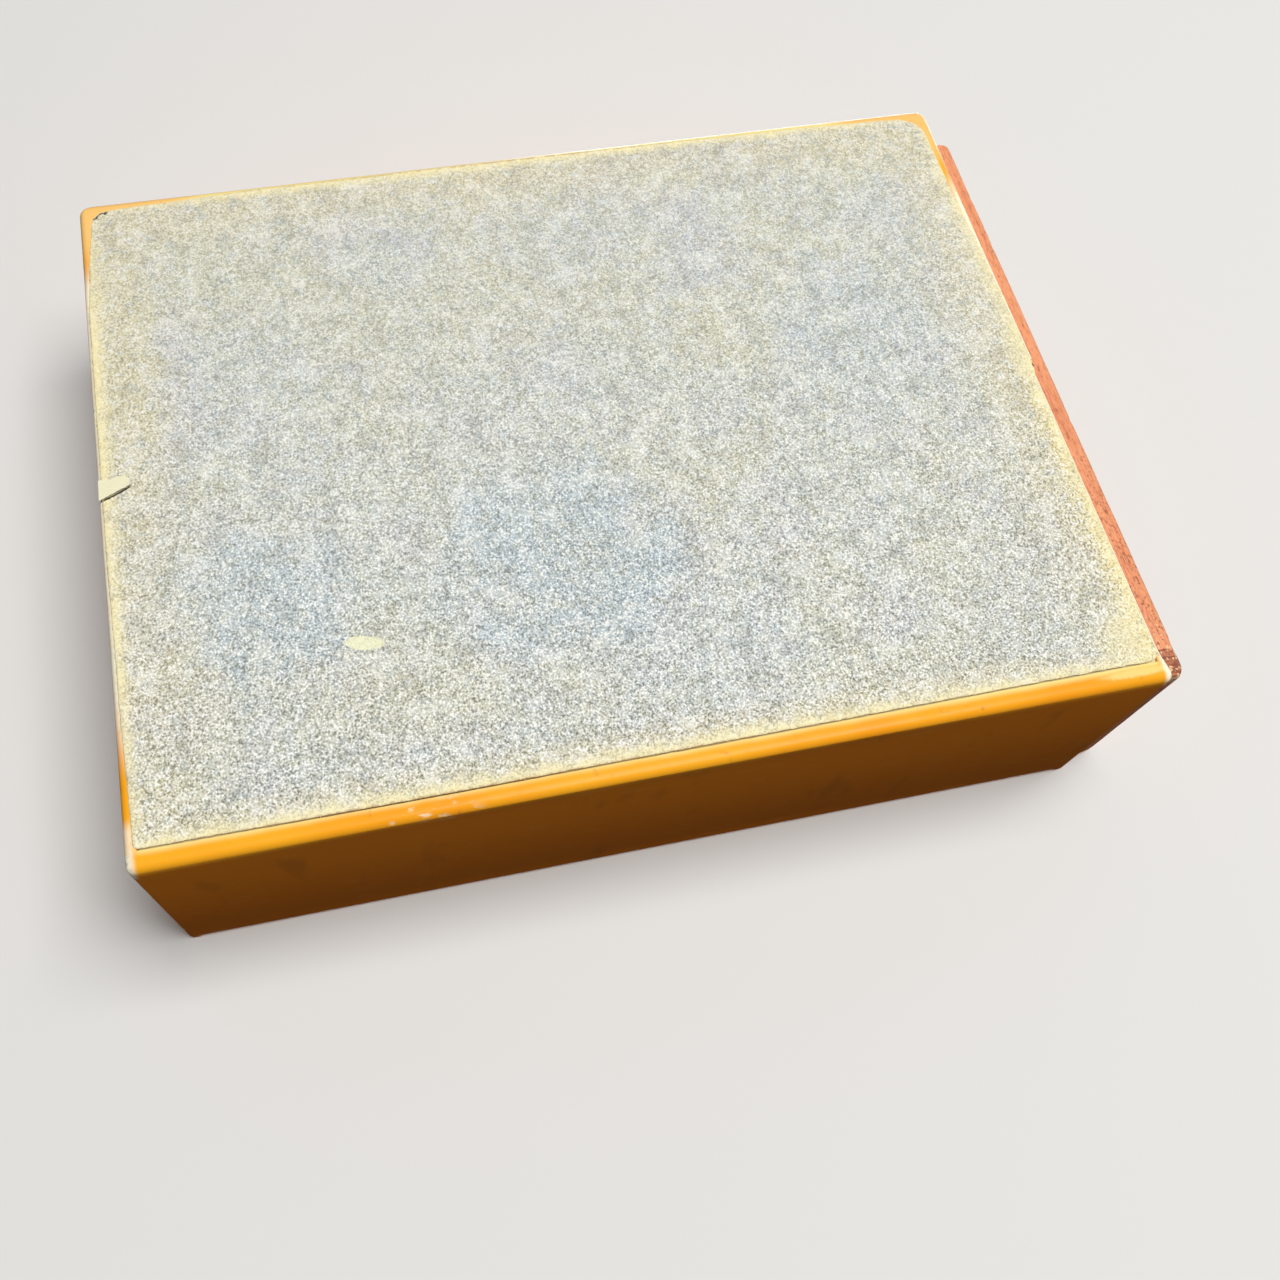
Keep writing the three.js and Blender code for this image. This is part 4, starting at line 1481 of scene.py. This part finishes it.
@dataclass
class Shell:
    """Two halves of sheet metal, each swept round from one seam to the other."""

    outline: BaseOutline
    enamel: bpy.types.Material
    rim_level: float
    lining_level: float
    gate_top: float
    wall_top: float
    sheet: float = 0.8
    corners: dict[int, float] = field(default_factory=lambda: {-1: 2.6, 1: 1.3})
    long_rolls: dict[Edge, float] = field(default_factory=lambda: {Edge.LEFT: 2.2, Edge.RIGHT: 1.35})
    short_roll: float = 1.2
    bead: float = 1.5
    lip: float = 0.35
    lip_steps: int = 3
    inner_shares: tuple[float, ...] = (0.1, 0.5, 1.0)
    wave: float = 0.06
    wave_length: float = 7.0
    small_wave: float = 0.05
    small_wave_length: float = 1.6
    least_left_reach: float = 2.5
    corner_fill: float = 0.55
    rim_rest: float = 0.15
    seam_gap: float = 0.3
    seam_step: float = 1.5
    notch: float = 1.0
    notch_height: float = 2.6
    notch_fade: float = 1.2
    dent: float = 0.07
    dent_size: Spot = (26.0, 17.0)
    small_dent: float = 0.03
    small_dent_size: Spot = (7.0, 6.0)
    end_shift: float = 200.0
    set_back: float = 0.6
    set_back_top: float = 6.0
    set_back_end: float = 1.5
    set_back_fade: float = 4.0
    post: float = 60.3
    bead_stop: float = 0.9
    hinge_centre: float = 32.0
    hinge_half: float = 11.3
    hinge_top: float = 35.0
    step: float = 1.4
    sharp: float = 0.02
    corner_steps: int = 6
    wall_rows: int = 9
    arc_steps: int = 8
    top_steps: int = 16

    def build(self) -> None:
        """Builds both halves."""
        for name, side in (("left", -1), ("right", 1)):
            mesh = ring_mesh(f"shell_{name}", self._columns(side))
            piece = to_object(f"shell_{name}_enamelled", mesh, self.enamel, 50.0)
            settle(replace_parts(piece, f"shell_half_{name}"), Body.BOX)

    def _profile(self, reach: float, roll: float, top: float, beaded: bool) -> list[Spot]:
        """Lists a wall's cross-section as distance from the outer face and level.

        Args:
            reach: How far the rim reaches in under the base.
            roll: Radius of the rolled lower edge.
            top: Level of the wall's top.
            beaded: Whether the top is rolled into a bead.

        Returns:
            The closed section's points.
        """
        quarter = math.pi / 2
        lip = min(self.lip, (reach - roll) * 0.9)
        points = [(reach, self.lining_level)]
        for index in range(self.lip_steps + 1):
            angle = quarter * index / self.lip_steps
            points.append((reach - lip + lip * math.cos(angle), self.rim_level + lip - lip * math.sin(angle)))
        for index in range(self.arc_steps + 1):
            angle = quarter * index / self.arc_steps
            points.append((roll - roll * math.sin(angle), self.rim_level + roll - roll * math.cos(angle)))
        round_top = self.bead if beaded else self.sheet
        for index in range(1, self.wall_rows):
            points.append((0.0, mix(self.rim_level + roll, top - round_top, index / self.wall_rows)))
        points += self._top(top, beaded)
        inner_top = top - 2 * self.bead
        points += [(self.sheet, mix(inner_top, self.lining_level, share)) for share in self.inner_shares]
        return points

    def _top(self, top: float, beaded: bool) -> list[Spot]:
        """Lists the points of a wall's top edge, beaded or plain.

        Args:
            top: Level of the wall's top.
            beaded: Whether it is rolled into a bead.

        Returns:
            The points from the outer face to the inner one.
        """
        shares = [index / self.top_steps for index in range(self.top_steps + 1)]
        points = []
        if beaded:
            radius = self.bead
            last = -math.pi + math.acos((radius - self.sheet) / radius)
            for angle in (mix(math.pi, last, share) for share in shares):
                points.append((radius * (1 + math.cos(angle)), top - radius + radius * math.sin(angle)))
            return points
        for share in shares:
            outer = share <= 0.5
            edge = self.sheet - 0.1 if outer else 0.1
            middle = edge if outer else self.sheet - edge
            angle = math.pi * (1 - share)
            points.append((middle + edge * math.cos(angle), top - edge + edge * math.sin(angle)))
        return points

    def _reach(self, edge: Edge, place: float) -> float:
        """Returns how far the rim reaches in, with its small waves.

        Args:
            edge: The edge of the base.
            place: Where along it.

        Returns:
            The rim's reach in millimetres.
        """
        small = self.small_wave * ripple(place / self.small_wave_length, 8)
        reach = self.outline.distance(edge, place) + small
        if edge is Edge.RIGHT:
            return reach - self.outline.gap + self.wave * ripple(place / self.wave_length, 3)
        if edge is Edge.LEFT:
            reach = max(reach, self.least_left_reach)
            length = self.outline.half_length
            ends = ((Edge.FRONT, length + place), (Edge.BACK, length - place))
        else:
            ends = ((edge, self.outline.half_width + place),)
        for end, away in ends:
            radius = self.outline.corners[Edge.LEFT, end]
            reach += self.corner_fill * radius * eased(1.2 - away / (2 * radius))
        return reach + self.outline.lap

    def _long(self, side: int, y: float) -> list[Spot]:
        """Returns the section of a long wall at a place along it.

        Args:
            side: The wall, -1 for left and 1 for right.
            y: Place along it.

        Returns:
            The closed section's points.
        """
        edge = Edge.RIGHT if side > 0 else Edge.LEFT
        inner_end = self.outline.half_length - self.corners[side] - self.bead_stop
        return self._profile(self._reach(edge, y), self.long_rolls[edge], self.wall_top,
                             abs(y) <= inner_end)

    def _short(self, end: int, x: float) -> list[Spot]:
        """Returns the section of a short wall at a place along it.

        Args:
            end: The wall, -1 for front and 1 for back.
            x: Place along it.

        Returns:
            The closed section's points.
        """
        reach = self._reach(Edge.BACK if end > 0 else Edge.FRONT, x)
        set_back = self._set_back(end, x, 0.0)
        top = self.wall_top if abs(x) > self.post else self.gate_top
        if end > 0 and abs(abs(x) - self.hinge_centre) < self.hinge_half:
            top = self.hinge_top
        return self._profile(reach, min(self.short_roll, reach - self.rim_rest - set_back), top, False)

    def _set_back(self, end: int, x: float, level: float) -> float:
        """Returns how far the foot of the right half stands back from the left half at the front seam.

        Args:
            end: The wall, -1 for front and 1 for back.
            x: Place along it.
            level: Level on it.

        Returns:
            The distance in millimetres.
        """
        if end > 0 or x < 0:
            return 0.0
        fade = self.set_back_fade
        near_corner = eased((self.outline.half_width - self.set_back_end - x) / fade)
        low = eased((self.set_back_top - level) / fade)
        return self.set_back * eased(x / self.seam_step) * near_corner * low

    def _corner_column(self, side: int, end: int, share: float) -> list[Vector]:
        """Returns a ring on a corner.

        Args:
            side: The corner's side, -1 for left and 1 for right.
            end: Its end, -1 for front and 1 for back.
            share: Place on it, 0 on its long wall and 1 on its short wall.

        Returns:
            The ring's points.
        """
        angle = share * math.pi / 2
        corner = self.corners[side]
        long_points = self._long(side, end * (self.outline.half_length - corner))
        short_points = self._short(end, side * (self.outline.half_width - corner))
        ring = []
        for (dx, z_long), (dy, z_short) in zip(long_points, short_points):
            radius = max(corner - max(dx, dy), 0.0)
            x = self.outline.half_width - dx - radius * (1 - math.cos(angle))
            y = self.outline.half_length - dy - radius * (1 - math.sin(angle))
            ring.append(Vector((side * x, end * y, mix(z_long, z_short, eased(share)))))
        return ring

    def _long_column(self, side: int, y: float) -> list[Vector]:
        """Returns a ring on a long wall.

        Args:
            side: The wall, -1 for left and 1 for right.
            y: Place along it.

        Returns:
            The ring's points.
        """
        straight = self.outline.half_length - self.corners[side]
        share = (y + straight) / (2 * straight)
        front = self._corner_column(side, -1, 0.0)
        back = self._corner_column(side, 1, 0.0)
        ring = []
        for index, (inset, level) in enumerate(self._long(side, y)):
            place = mix(front[index].y, back[index].y, share)
            dent = self._dent(y, level) * (inset == 0.0) * math.sin(math.pi * share)
            ring.append(Vector((side * (self.outline.half_width - inset - dent), place, level)))
        return ring

    def _short_column(self, side: int, end: int, x: float) -> list[Vector]:
        """Returns a ring on a short wall.

        Args:
            side: The half of the shell, -1 for left and 1 for right.
            end: The wall, -1 for front and 1 for back.
            x: Distance from the seam.

        Returns:
            The ring's points.
        """
        straight = self.outline.half_width - self.corners[side]
        share = x / straight
        corner = self._corner_column(side, end, 1.0)
        ring = []
        for index, (inset, level) in enumerate(self._short(end, side * x)):
            place = mix(0.0, abs(corner[index].x), share)
            dent = self._dent(x + self.end_shift * end, level) * (inset == 0.0)
            dent *= math.sin(math.pi * share)
            low = eased((self.rim_level + self.notch_height - level) / self.notch_fade)
            cut = max(self.notch - x, 0.0) * low
            if inset < self.short_roll:
                dent += self._set_back(end, side * x, level)
            inset = max(inset + dent, cut)
            ring.append(Vector((side * place, end * (self.outline.half_length - inset), level)))
        return ring

    def _dent(self, place: float, level: float) -> float:
        """Returns how far the sheet is pressed in at a place.

        Args:
            place: Place along the wall.
            level: Level on it.

        Returns:
            The depth in millimetres.
        """
        (length, height), (small_length, small_height) = self.dent_size, self.small_dent_size
        broad = self.dent * (1 + ripple(place / length, level / height, 4))
        return broad + self.small_dent * (1 + ripple(place / small_length, level / small_height, 6))

    def _columns(self, side: int) -> list[list[Vector]]:
        """Lists the rings of one half from the front seam to the back seam.

        Args:
            side: The half, -1 for left and 1 for right.

        Returns:
            The rings in order.
        """
        inner = self.seam_gap / 2
        half_x = self.outline.half_width - self.corners[side]
        half_y = self.outline.half_length - self.corners[side]
        steps = [self.post, self.hinge_centre - self.hinge_half, self.hinge_centre + self.hinge_half]
        breaks = [place + shift for place in steps for shift in (-self.sharp, self.sharp)]
        near_seam = [inner + self.notch * quarter / 4 for quarter in (1, 2, 3, 4)]
        across = spaced(inner, half_x, self.step, [*breaks, *near_seam])
        bead_end = half_y - self.bead_stop
        stops = [sign * (bead_end + shift) for sign in (-1, 1) for shift in (-self.sharp, self.sharp)]
        along = spaced(-half_y, half_y, self.step, stops)
        turn = [index / self.corner_steps for index in range(1, self.corner_steps)]
        columns = [self._short_column(side, -1, x) for x in across]
        columns += [self._corner_column(side, -1, 1 - share) for share in turn]
        columns += [self._long_column(side, y) for y in along]
        columns += [self._corner_column(side, 1, share) for share in turn]
        columns += [self._short_column(side, 1, x) for x in reversed(across)]
        return columns


# Wood


@dataclass
class Carcass:
    """The wooden boards inside the sheet metal."""

    long_boards: bpy.types.Material
    cross_boards: bpy.types.Material
    ease: float = 0.25

    def build(self) -> None:
        """Builds the boards."""
        for node in ("side_lining_left", "side_lining_right", "floor_board"):
            settle(eased_copy(node, self.ease, self.long_boards), Body.BOX)
        for node in ("front_lining", "back_lining"):
            settle(eased_copy(node, self.ease, self.cross_boards), Body.BOX)


@dataclass
class Lid:
    """The lid board, its apron and the dowels between them."""

    board: bpy.types.Material
    apron: bpy.types.Material
    dowel: bpy.types.Material
    low: Vector = field(default_factory=lambda: box_mm("lid_apron")[0] + Vector((1.0, 0, 0)))
    high: Vector = field(default_factory=lambda: box_mm("lid_apron")[1] + Vector((0.5, 0, 0)))
    board_ease: float = 0.35
    dowel_ease: float = 0.15
    plan_corner: float = 2.5
    far_corner: float = 1.2
    front_round: float = 2.0
    back_round: float = 0.35
    end_round: float = 0.5
    step: float = 0.7
    arc_steps: int = 5
    side_rows: tuple[int, int] = (4, 16)
    pit: float = 0.32
    pit_size: Spot = (2.2, 0.9)
    pits_above: float = 0.32
    dent: float = 0.05
    dent_size: tuple[float, float, float] = (9.0, 4.0, 6.0)
    flat_middle: Spot = (2.0, 16.0)

    def build(self) -> None:
        """Builds the lid."""
        settle(eased_copy("lid_board", self.board_ease, self.board), Body.LID)
        apron = to_object("apron_board", ring_mesh("apron_board", self._rings()), self.apron, 50.0)
        settle(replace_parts(apron, "lid_apron"), Body.LID)
        for number in (1, 2, 3):
            settle(eased_copy(f"apron_dowel_{number}", self.dowel_ease, self.dowel), Body.LID)

    def _rings(self) -> list[list[Vector]]:
        """Lists the apron's cross-sections along its length.

        Returns:
            The rings in order, from the left.
        """
        tight = [self.end_round * share for share in (0.0, 0.15, 0.4, 0.7, 1.0)]
        ends = [*tight, *spaced(self.end_round, self.plan_corner, 0.4)]
        extra = [self.low.x + place for place in ends] + [self.high.x - place for place in ends]
        return [self._ring(x) for x in spaced(self.low.x, self.high.x, self.step, extra)]

    def _ring(self, x: float) -> list[Vector]:
        """Returns the apron's cross-section at a place along it.

        Args:
            x: The place.

        Returns:
            The ring's points.
        """
        from_end = min(x - self.low.x, self.high.x - x)
        corner = self.plan_corner if x > 0 else self.far_corner
        short = min(max(corner - from_end, 0.0), corner)
        front = self.low.y + corner - math.sqrt(corner ** 2 - short ** 2)
        tight = min(max(self.end_round - from_end, 0.0), self.end_round)
        shrink = self.end_round - math.sqrt(self.end_round ** 2 - tight ** 2)
        low_z, high_z = self.low.z + shrink, self.high.z - shrink
        front, back = front + shrink, self.high.y - shrink
        big, small = self.front_round, self.back_round
        corners = [(back - small, high_z - small, small), (front + big, high_z - big, big),
                   (front + big, low_z + big, big), (back - small, low_z + small, small)]
        points = []
        for number, (y, z, radius) in enumerate(corners):
            for index in range(self.arc_steps + 1):
                angle = math.tau * (number + index / self.arc_steps) / 4
                points.append((y + radius * math.cos(angle), z + radius * math.sin(angle)))
        ring = []
        for index, (y, z) in enumerate(points):
            corner, place = divmod(index, self.arc_steps + 1)
            rows = self.side_rows[corner % 2] if place == self.arc_steps else 1
            after_y, after_z = points[(index + 1) % len(points)]
            ring += [(mix(y, after_y, step / rows), mix(z, after_z, step / rows)) for step in range(rows)]
        middle_y, middle_z = (front + back) / 2, (low_z + high_z) / 2
        return [self._worn(x, y, z, middle_y, middle_z) for y, z in ring]

    def _worn(self, x: float, y: float, z: float, middle_y: float, middle_z: float) -> Vector:
        """Presses small pits and dents into a point of the apron.

        Args:
            x: Place of the point along the apron.
            y: Its place across the apron's thickness.
            z: Its level.
            middle_y: Middle of the thickness.
            middle_z: Middle of the height.

        Returns:
            The point, moved inwards.
        """
        (length, width), (dent_x, dent_y, dent_z) = self.pit_size, self.dent_size
        depth = max(ripple(x / length, y / width, z / width) - self.pits_above, 0.0) * self.pit
        depth = min(depth + self.dent * (1 + ripple(x / dent_x, y / dent_y, z / dent_z)), 1.0)
        flat_y, flat_z = self.flat_middle
        inward_y = math.copysign(depth, middle_y - y) * (abs(middle_y - y) > flat_y)
        inward_z = math.copysign(depth, middle_z - z) * (abs(middle_z - z) > flat_z)
        return Vector((x, y + inward_y, z + inward_z))


# Fittings


@dataclass(frozen=True)
class Row:
    """A row of equal fasteners with their heads towards one side."""

    name: str
    nodes: list[str]
    axis: int
    facing: int
    above: float = 0.0

    def places(self) -> bpy.types.Mesh:
        """Returns the fasteners' seats as points that know their direction.

        Returns:
            A mesh of loose points.
        """
        host = bpy.data.meshes.new(f"{self.name}_places")
        host.from_pydata([self._seat(node) * MM for node in self.nodes], [], [])
        direction = Vector((0, 0, 0))
        direction[self.axis] = self.facing
        for entry in host.attributes.new("facing", "FLOAT_VECTOR", "POINT").data:
            entry.vector = direction
        return host

    def _seat(self, node: str) -> Vector:
        """Returns the middle of a fastener's seat, below its head.

        Args:
            node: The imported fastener.

        Returns:
            The seat in millimetres.
        """
        low, high = box_mm(node)
        middle = (low + high) / 2
        end = high if self.facing > 0 else low
        middle[self.axis] = end[self.axis] - self.facing * self.above
        return middle


@dataclass
class Fittings:
    """Hinges, their screws, and the tacks beside the seams."""

    brass: bpy.types.Material
    tack_brass: bpy.types.Material
    screw_radius: float = 1.5
    shank_radius: float = 0.8
    screw_length: float = 5.5
    screw_edge: float = 0.12
    slot: Spot = (0.5, 0.35)
    slot_rings: tuple[float, ...] = (0.9, 0.55, 0.26)
    tack_radius: float = 1.1
    tack_height: float = 0.45
    tack_shank: float = 0.5
    tack_length: float = 5.0
    facets: int = 24
    dome_steps: int = 6
    leaf_ease: float = 0.1
    hinge_sides: tuple[str, str] = ("left", "right")

    def build(self) -> None:
        """Builds the fittings."""
        for side in self.hinge_sides:
            for part, body in (("fixed_leaf", Body.BOX), ("moving_leaf", Body.LID), ("pin", Body.BOX)):
                settle(eased_copy(f"hinge_{side}_{part}", self.leaf_ease, self.brass), body)
        for part, body, facing in (("fixed", Body.BOX, 1), ("moving", Body.LID, -1)):
            nodes = [f"hinge_{side}_{part}_screw_{number}" for side in self.hinge_sides for number in (1, 2)]
            row = Row(f"{part}_leaf_screws", nodes, 2, facing)
            self._set(row, self._screw(), self.brass, body, Slot.BRASS)
        for end, facing in (("front", -1), ("back", 1)):
            nodes = [f"{end}_seam_tack_{number}" for number in (1, 2, 3, 4)]
            row = Row(f"{end}_tacks", nodes, 1, facing, self.tack_height)
            self._set(row, self._tack(), self.tack_brass, Body.BOX, Slot.TACK)

    def _screw(self) -> bpy.types.Mesh:
        """Builds a countersunk screw with a slotted head.

        Returns:
            The mesh.
        """
        head, shank, length, edge = self.screw_radius, self.shank_radius, self.screw_length, self.screw_edge
        rings = [(0.0, -length), (shank, shank - length), (shank, shank - head), (head, -edge),
                 (head - edge, 0.0)]
        rings += [(radius, 0.0) for radius in (*self.slot_rings, 0.0)]
        return lathe("slotted_screw", rings, self.facets, self.slot)

    def _tack(self) -> bpy.types.Mesh:
        """Builds a tack with a low domed head.

        Returns:
            The mesh.
        """
        shank, length = self.tack_shank, self.tack_length
        rings = [(0.0, -length), (shank / 2, shank - length), (shank, 2 * shank - length), (shank, 0.0)]
        for step in range(self.dome_steps):
            angle = math.pi / 2 * step / self.dome_steps
            rings.append((self.tack_radius * math.cos(angle), self.tack_height * math.sin(angle)))
        return lathe("domed_tack", [*rings, (0.0, self.tack_height)], self.facets)

    @staticmethod
    def _set(row: Row, pattern: bpy.types.Mesh, finish: bpy.types.Material, body: Body, slot: Slot) -> None:
        """Sets a row of fasteners in their places.

        Args:
            row: The fasteners' names, seats and direction.
            pattern: One fastener.
            finish: Its material.
            body: The body it rides on.
            slot: Its material slot, which is not used.
        """
        copies = fastener_tree().grown(row.name, row.places(), pattern, finish, {"Turn": math.pi})
        settle(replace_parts(copies, *row.nodes), body)


# Stage, lamps and camera


@dataclass
class Stage:
    """A pale ground under the standing box and one that the turned box lies on.

    Each is seen from its own side only. Its reach is in metres, and its other sizes in millimetres.
    """

    low: Vector
    high: Vector
    reach: float = 3.0
    gap: float = 0.3
    shade: Colour = paint(226, 225, 222)
    # Colour of the painted contact shadow round the box.
    foot: Colour = paint(96, 94, 91)
    contact_shade_reach: float = 13.0
    seen: float = 0.82
    fade: Step = (200.0, 700.0)
    lit_below: Step = (3.2, 2.8)
    lit_past_lid: Step = (0.3, 0.5)
    apron_front: Step = (-84.9, -85.1)
    apron_lift: float = 8.5
    soft: float = 0.18
    mirrored: float = 0.012

    def build(self) -> None:
        """Builds both grounds, the world and the view settings."""
        self._ground("ground_below", -self.gap, 1)
        self._ground("ground_above", self.high.z + self.gap, -1)
        scene = bpy.context.scene
        scene.view_settings.view_transform = "Standard"
        scene.world = bpy.data.worlds.new("soft_room")
        scene.world.use_nodes = True
        self._light_world(NodeTree(scene.world.node_tree))

    def _ground(self, name: str, level: float, facing: int) -> None:
        """Builds one ground that only cameras on its own side see.

        Args:
            name: Name of the ground.
            level: Its level in millimetres.
            facing: The side that it is seen from, 1 for above and -1 for below.
        """
        mesh = bpy.data.meshes.new(name)
        reach = self.reach
        corners = [(-reach, -reach), (reach, -reach), (reach, reach), (-reach, reach)]
        mesh.from_pydata([(x, y * facing, level * MM) for x, y in corners], [], [(0, 1, 2, 3)])
        tree = Shader(name)
        # The ground below carries a painted contact shadow round the box.
        shade = self._painted_contact_shade(tree) if facing > 0 else self.shade
        near = tree.add("ShaderNodeBsdfDiffuse", {}, {0: shade}).outputs[0]
        far = tree.add("ShaderNodeEmission", {}, {0: (1, 1, 1, 1), 1: self.seen}).outputs[0]
        away = (tree.x * tree.x + tree.y * tree.y).mask(self.fade[0] ** 2, self.fade[1] ** 2)
        surface = tree.add("ShaderNodeMixShader", {}, {0: away, 1: near, 2: far}).outputs[0]
        clear = tree.add("ShaderNodeBsdfTransparent").outputs[0]
        open_share = self._open_share(tree)
        shown = tree.add("ShaderNodeMixShader", {}, {0: open_share, 1: surface, 2: clear}).outputs[0]
        tree.add("ShaderNodeOutputMaterial", {}, {0: shown})
        mesh.materials.append(tree.material)
        ground = bpy.data.objects.new(name, mesh)
        bpy.context.scene.collection.objects.link(ground)
        for ray in ["diffuse", "transmission"] + ["glossy", "shadow"] * (facing < 0):
            setattr(ground, f"visible_{ray}", False)
        ground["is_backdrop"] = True

    def _painted_contact_shade(self, tree: Shader) -> bpy.types.NodeSocket:
        """Paints a contact shadow on the ground close round the box, which also hides the light that the lit
        rim would shine on it.

        Args:
            tree: The ground's tree.

        Returns:
            The ground's colour.
        """
        middle, half = (self.low.y + self.high.y) / 2, (self.high.y - self.low.y) / 2
        beside = (abs(tree.x) - self.high.x).larger(0.0)
        beyond = (abs(tree.y - middle) - half).larger(0.0)
        away = beside * beside + beyond * beyond
        return tree.over(self.foot, (self.shade, away.mask(-self.contact_shade_reach ** 2 / 2, self.contact_shade_reach ** 2)))

    def _open_share(self, tree: Shader) -> Signal:
        """Returns where a ground lets light through.

        A ground is open from behind. The lamp under the box lights the base and the ground above
        through the ground below, which keeps that light off the walls.

        Args:
            tree: The ground's tree.

        Returns:
            1 where the ground is open and 0 elsewhere.
        """
        path = tree.add("ShaderNodeLightPath").outputs
        shadow = Signal(tree, path["Is Shadow Ray"])
        length = Signal(tree, path["Ray Length"]) * (1 / MM)
        low_enough = (length - tree.y.mask(*self.apron_front) * self.apron_lift).mask(*self.lit_below)
        high_enough = length.mask(*(self.high.z + above for above in self.lit_past_lid))
        behind = Signal(tree, tree.add("ShaderNodeNewGeometry").outputs["Backfacing"])
        return shadow * low_enough.larger(high_enough) + (1.0 - shadow) * behind

    def _light_world(self, tree: NodeTree) -> None:
        """Lights the world softly, shows it paler to the camera and darker in reflections.

        Args:
            tree: The world's tree.
        """
        path = tree.add("ShaderNodeLightPath").outputs
        direct = Signal(tree, path["Is Camera Ray"]).larger(Signal(tree, path["Is Transmission Ray"]))
        mirror = Signal(tree, path["Is Glossy Ray"])
        strength = direct * (self.seen - self.soft) + mirror * (self.mirrored - self.soft) + self.soft
        light = tree.add("ShaderNodeBackground", {}, {"Color": (1, 1, 1, 1), "Strength": strength})
        tree.add("ShaderNodeOutputWorld", {}, {0: light.outputs[0]})


@dataclass(frozen=True)
class Lamp:
    """A square soft lamp that points at the box."""

    name: str
    place: tuple[float, float, float]
    power: float
    size: float

    def build(self) -> None:
        """Builds the lamp."""
        data = bpy.data.lights.new(self.name, "AREA")
        data.energy = self.power
        data.size = self.size
        lamp = bpy.data.objects.new(self.name, data)
        lamp.location = self.place
        lamp.rotation_euler = (-Vector(self.place)).to_track_quat("-Z", "Y").to_euler()
        bpy.context.scene.collection.objects.link(lamp)


@dataclass(frozen=True)
class Eye:
    """The camera, below the base and close to it, with its line of sight off the middle of the picture."""

    place: tuple[float, float, float] = (119.47, 40.96, -182.31)
    looking: tuple[float, float, float] = (-0.40814, -0.14096, 0.90197)
    upward: tuple[float, float, float] = (-0.88881, -0.16422, -0.42785)
    lens: float = 35.88
    sensor: float = 36.0
    shift: Spot = (0.0581, -0.0096)

    def build(self) -> None:
        """Builds the camera."""
        back = -Vector(self.looking).normalized()
        right = Vector(self.upward).cross(back).normalized()
        turn = Matrix((right, back.cross(right), back)).transposed()
        data = bpy.data.cameras.new("eye")
        data.lens = self.lens
        data.sensor_width = self.sensor
        data.shift_x, data.shift_y = self.shift
        data.clip_start = 0.01
        eye = bpy.data.objects.new("eye", data)
        eye.matrix_world = Matrix.Translation(Vector(self.place) * MM) @ turn.to_4x4()
        bpy.context.scene.collection.objects.link(eye)
        bpy.context.scene.camera = eye


def write_sizes() -> None:
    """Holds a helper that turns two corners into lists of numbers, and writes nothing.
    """

    def plain(bounds: object) -> list[list[float]]:
        """Returns two corners as lists of numbers."""
        return [[round(float(value), 6) for value in corner] for corner in bounds]


def red_wood(name: str, grain: Axis, end_stain: float = 0.0) -> bpy.types.Material:
    """Returns the lid's red-brown wood with its grain along an axis."""
    light, dark, pore = paint(240, 162, 116), paint(206, 120, 82), paint(128, 62, 42)
    return Wood(name, light, dark, pore, grain, ring=1.6, pores=0.6, end_stain=end_stain).material()


def plain_wood(name: str, grain: Axis) -> bpy.types.Material:
    """Returns the carcass's plain wood with its grain along an axis."""
    light, dark, pore = paint(206, 160, 112), paint(172, 122, 80), paint(120, 80, 50)
    return Wood(name, light, dark, pore, grain, ring=2.6, pores=0.35, rough=0.65).material()


def main() -> None:
    """Builds the box, its stage and its camera."""
    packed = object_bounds()
    shell_low, shell_high = box_mm("shell_half_right")
    card_high = box_mm("base_card")[1]
    lining_high = box_mm("front_lining")[1]
    apron_high = box_mm("lid_apron")[1]
    half_width, half_length = shell_high.x, shell_high.y
    outline = BaseOutline(half_width, half_length)
    enamel = Enamel(half_width, half_length, shell_low.z).material()
    felt = Felt().material()
    Shell(outline, enamel, shell_low.z, card_high.z, lining_high.z, shell_high.z).build()
    paper = Card("torn_paper", paint(238, 232, 196), paint(232, 220, 150), paint(252, 248, 232))
    Base(outline, shell_low.z, felt, Card().material(), paper.material()).build()
    Carcass(plain_wood("plain_wood_long", Axis.Y), plain_wood("plain_wood_cross", Axis.X)).build()
    dowel = plain_wood("dowel_wood", Axis.Y)
    Lid(red_wood("red_wood_lid", Axis.Y), red_wood("red_wood_apron", Axis.X, apron_high.x), dowel).build()
    Fittings(Brass("aged_brass").material(), Brass("dull_brass", aged=0.8).material()).build()
    Stage(*(Vector(corner) / MM for corner in packed)).build()
    Lamp("lamp_under", place=(0.08, -0.36, -1.46), power=22.8, size=0.8).build()
    Lamp("lamp_over", place=(-1.0, -0.62, 0.92), power=25.0, size=1.0).build()
    Eye().build()
    write_sizes()


if __name__ == "__main__":
    logging.basicConfig(level=logging.INFO)
    main()
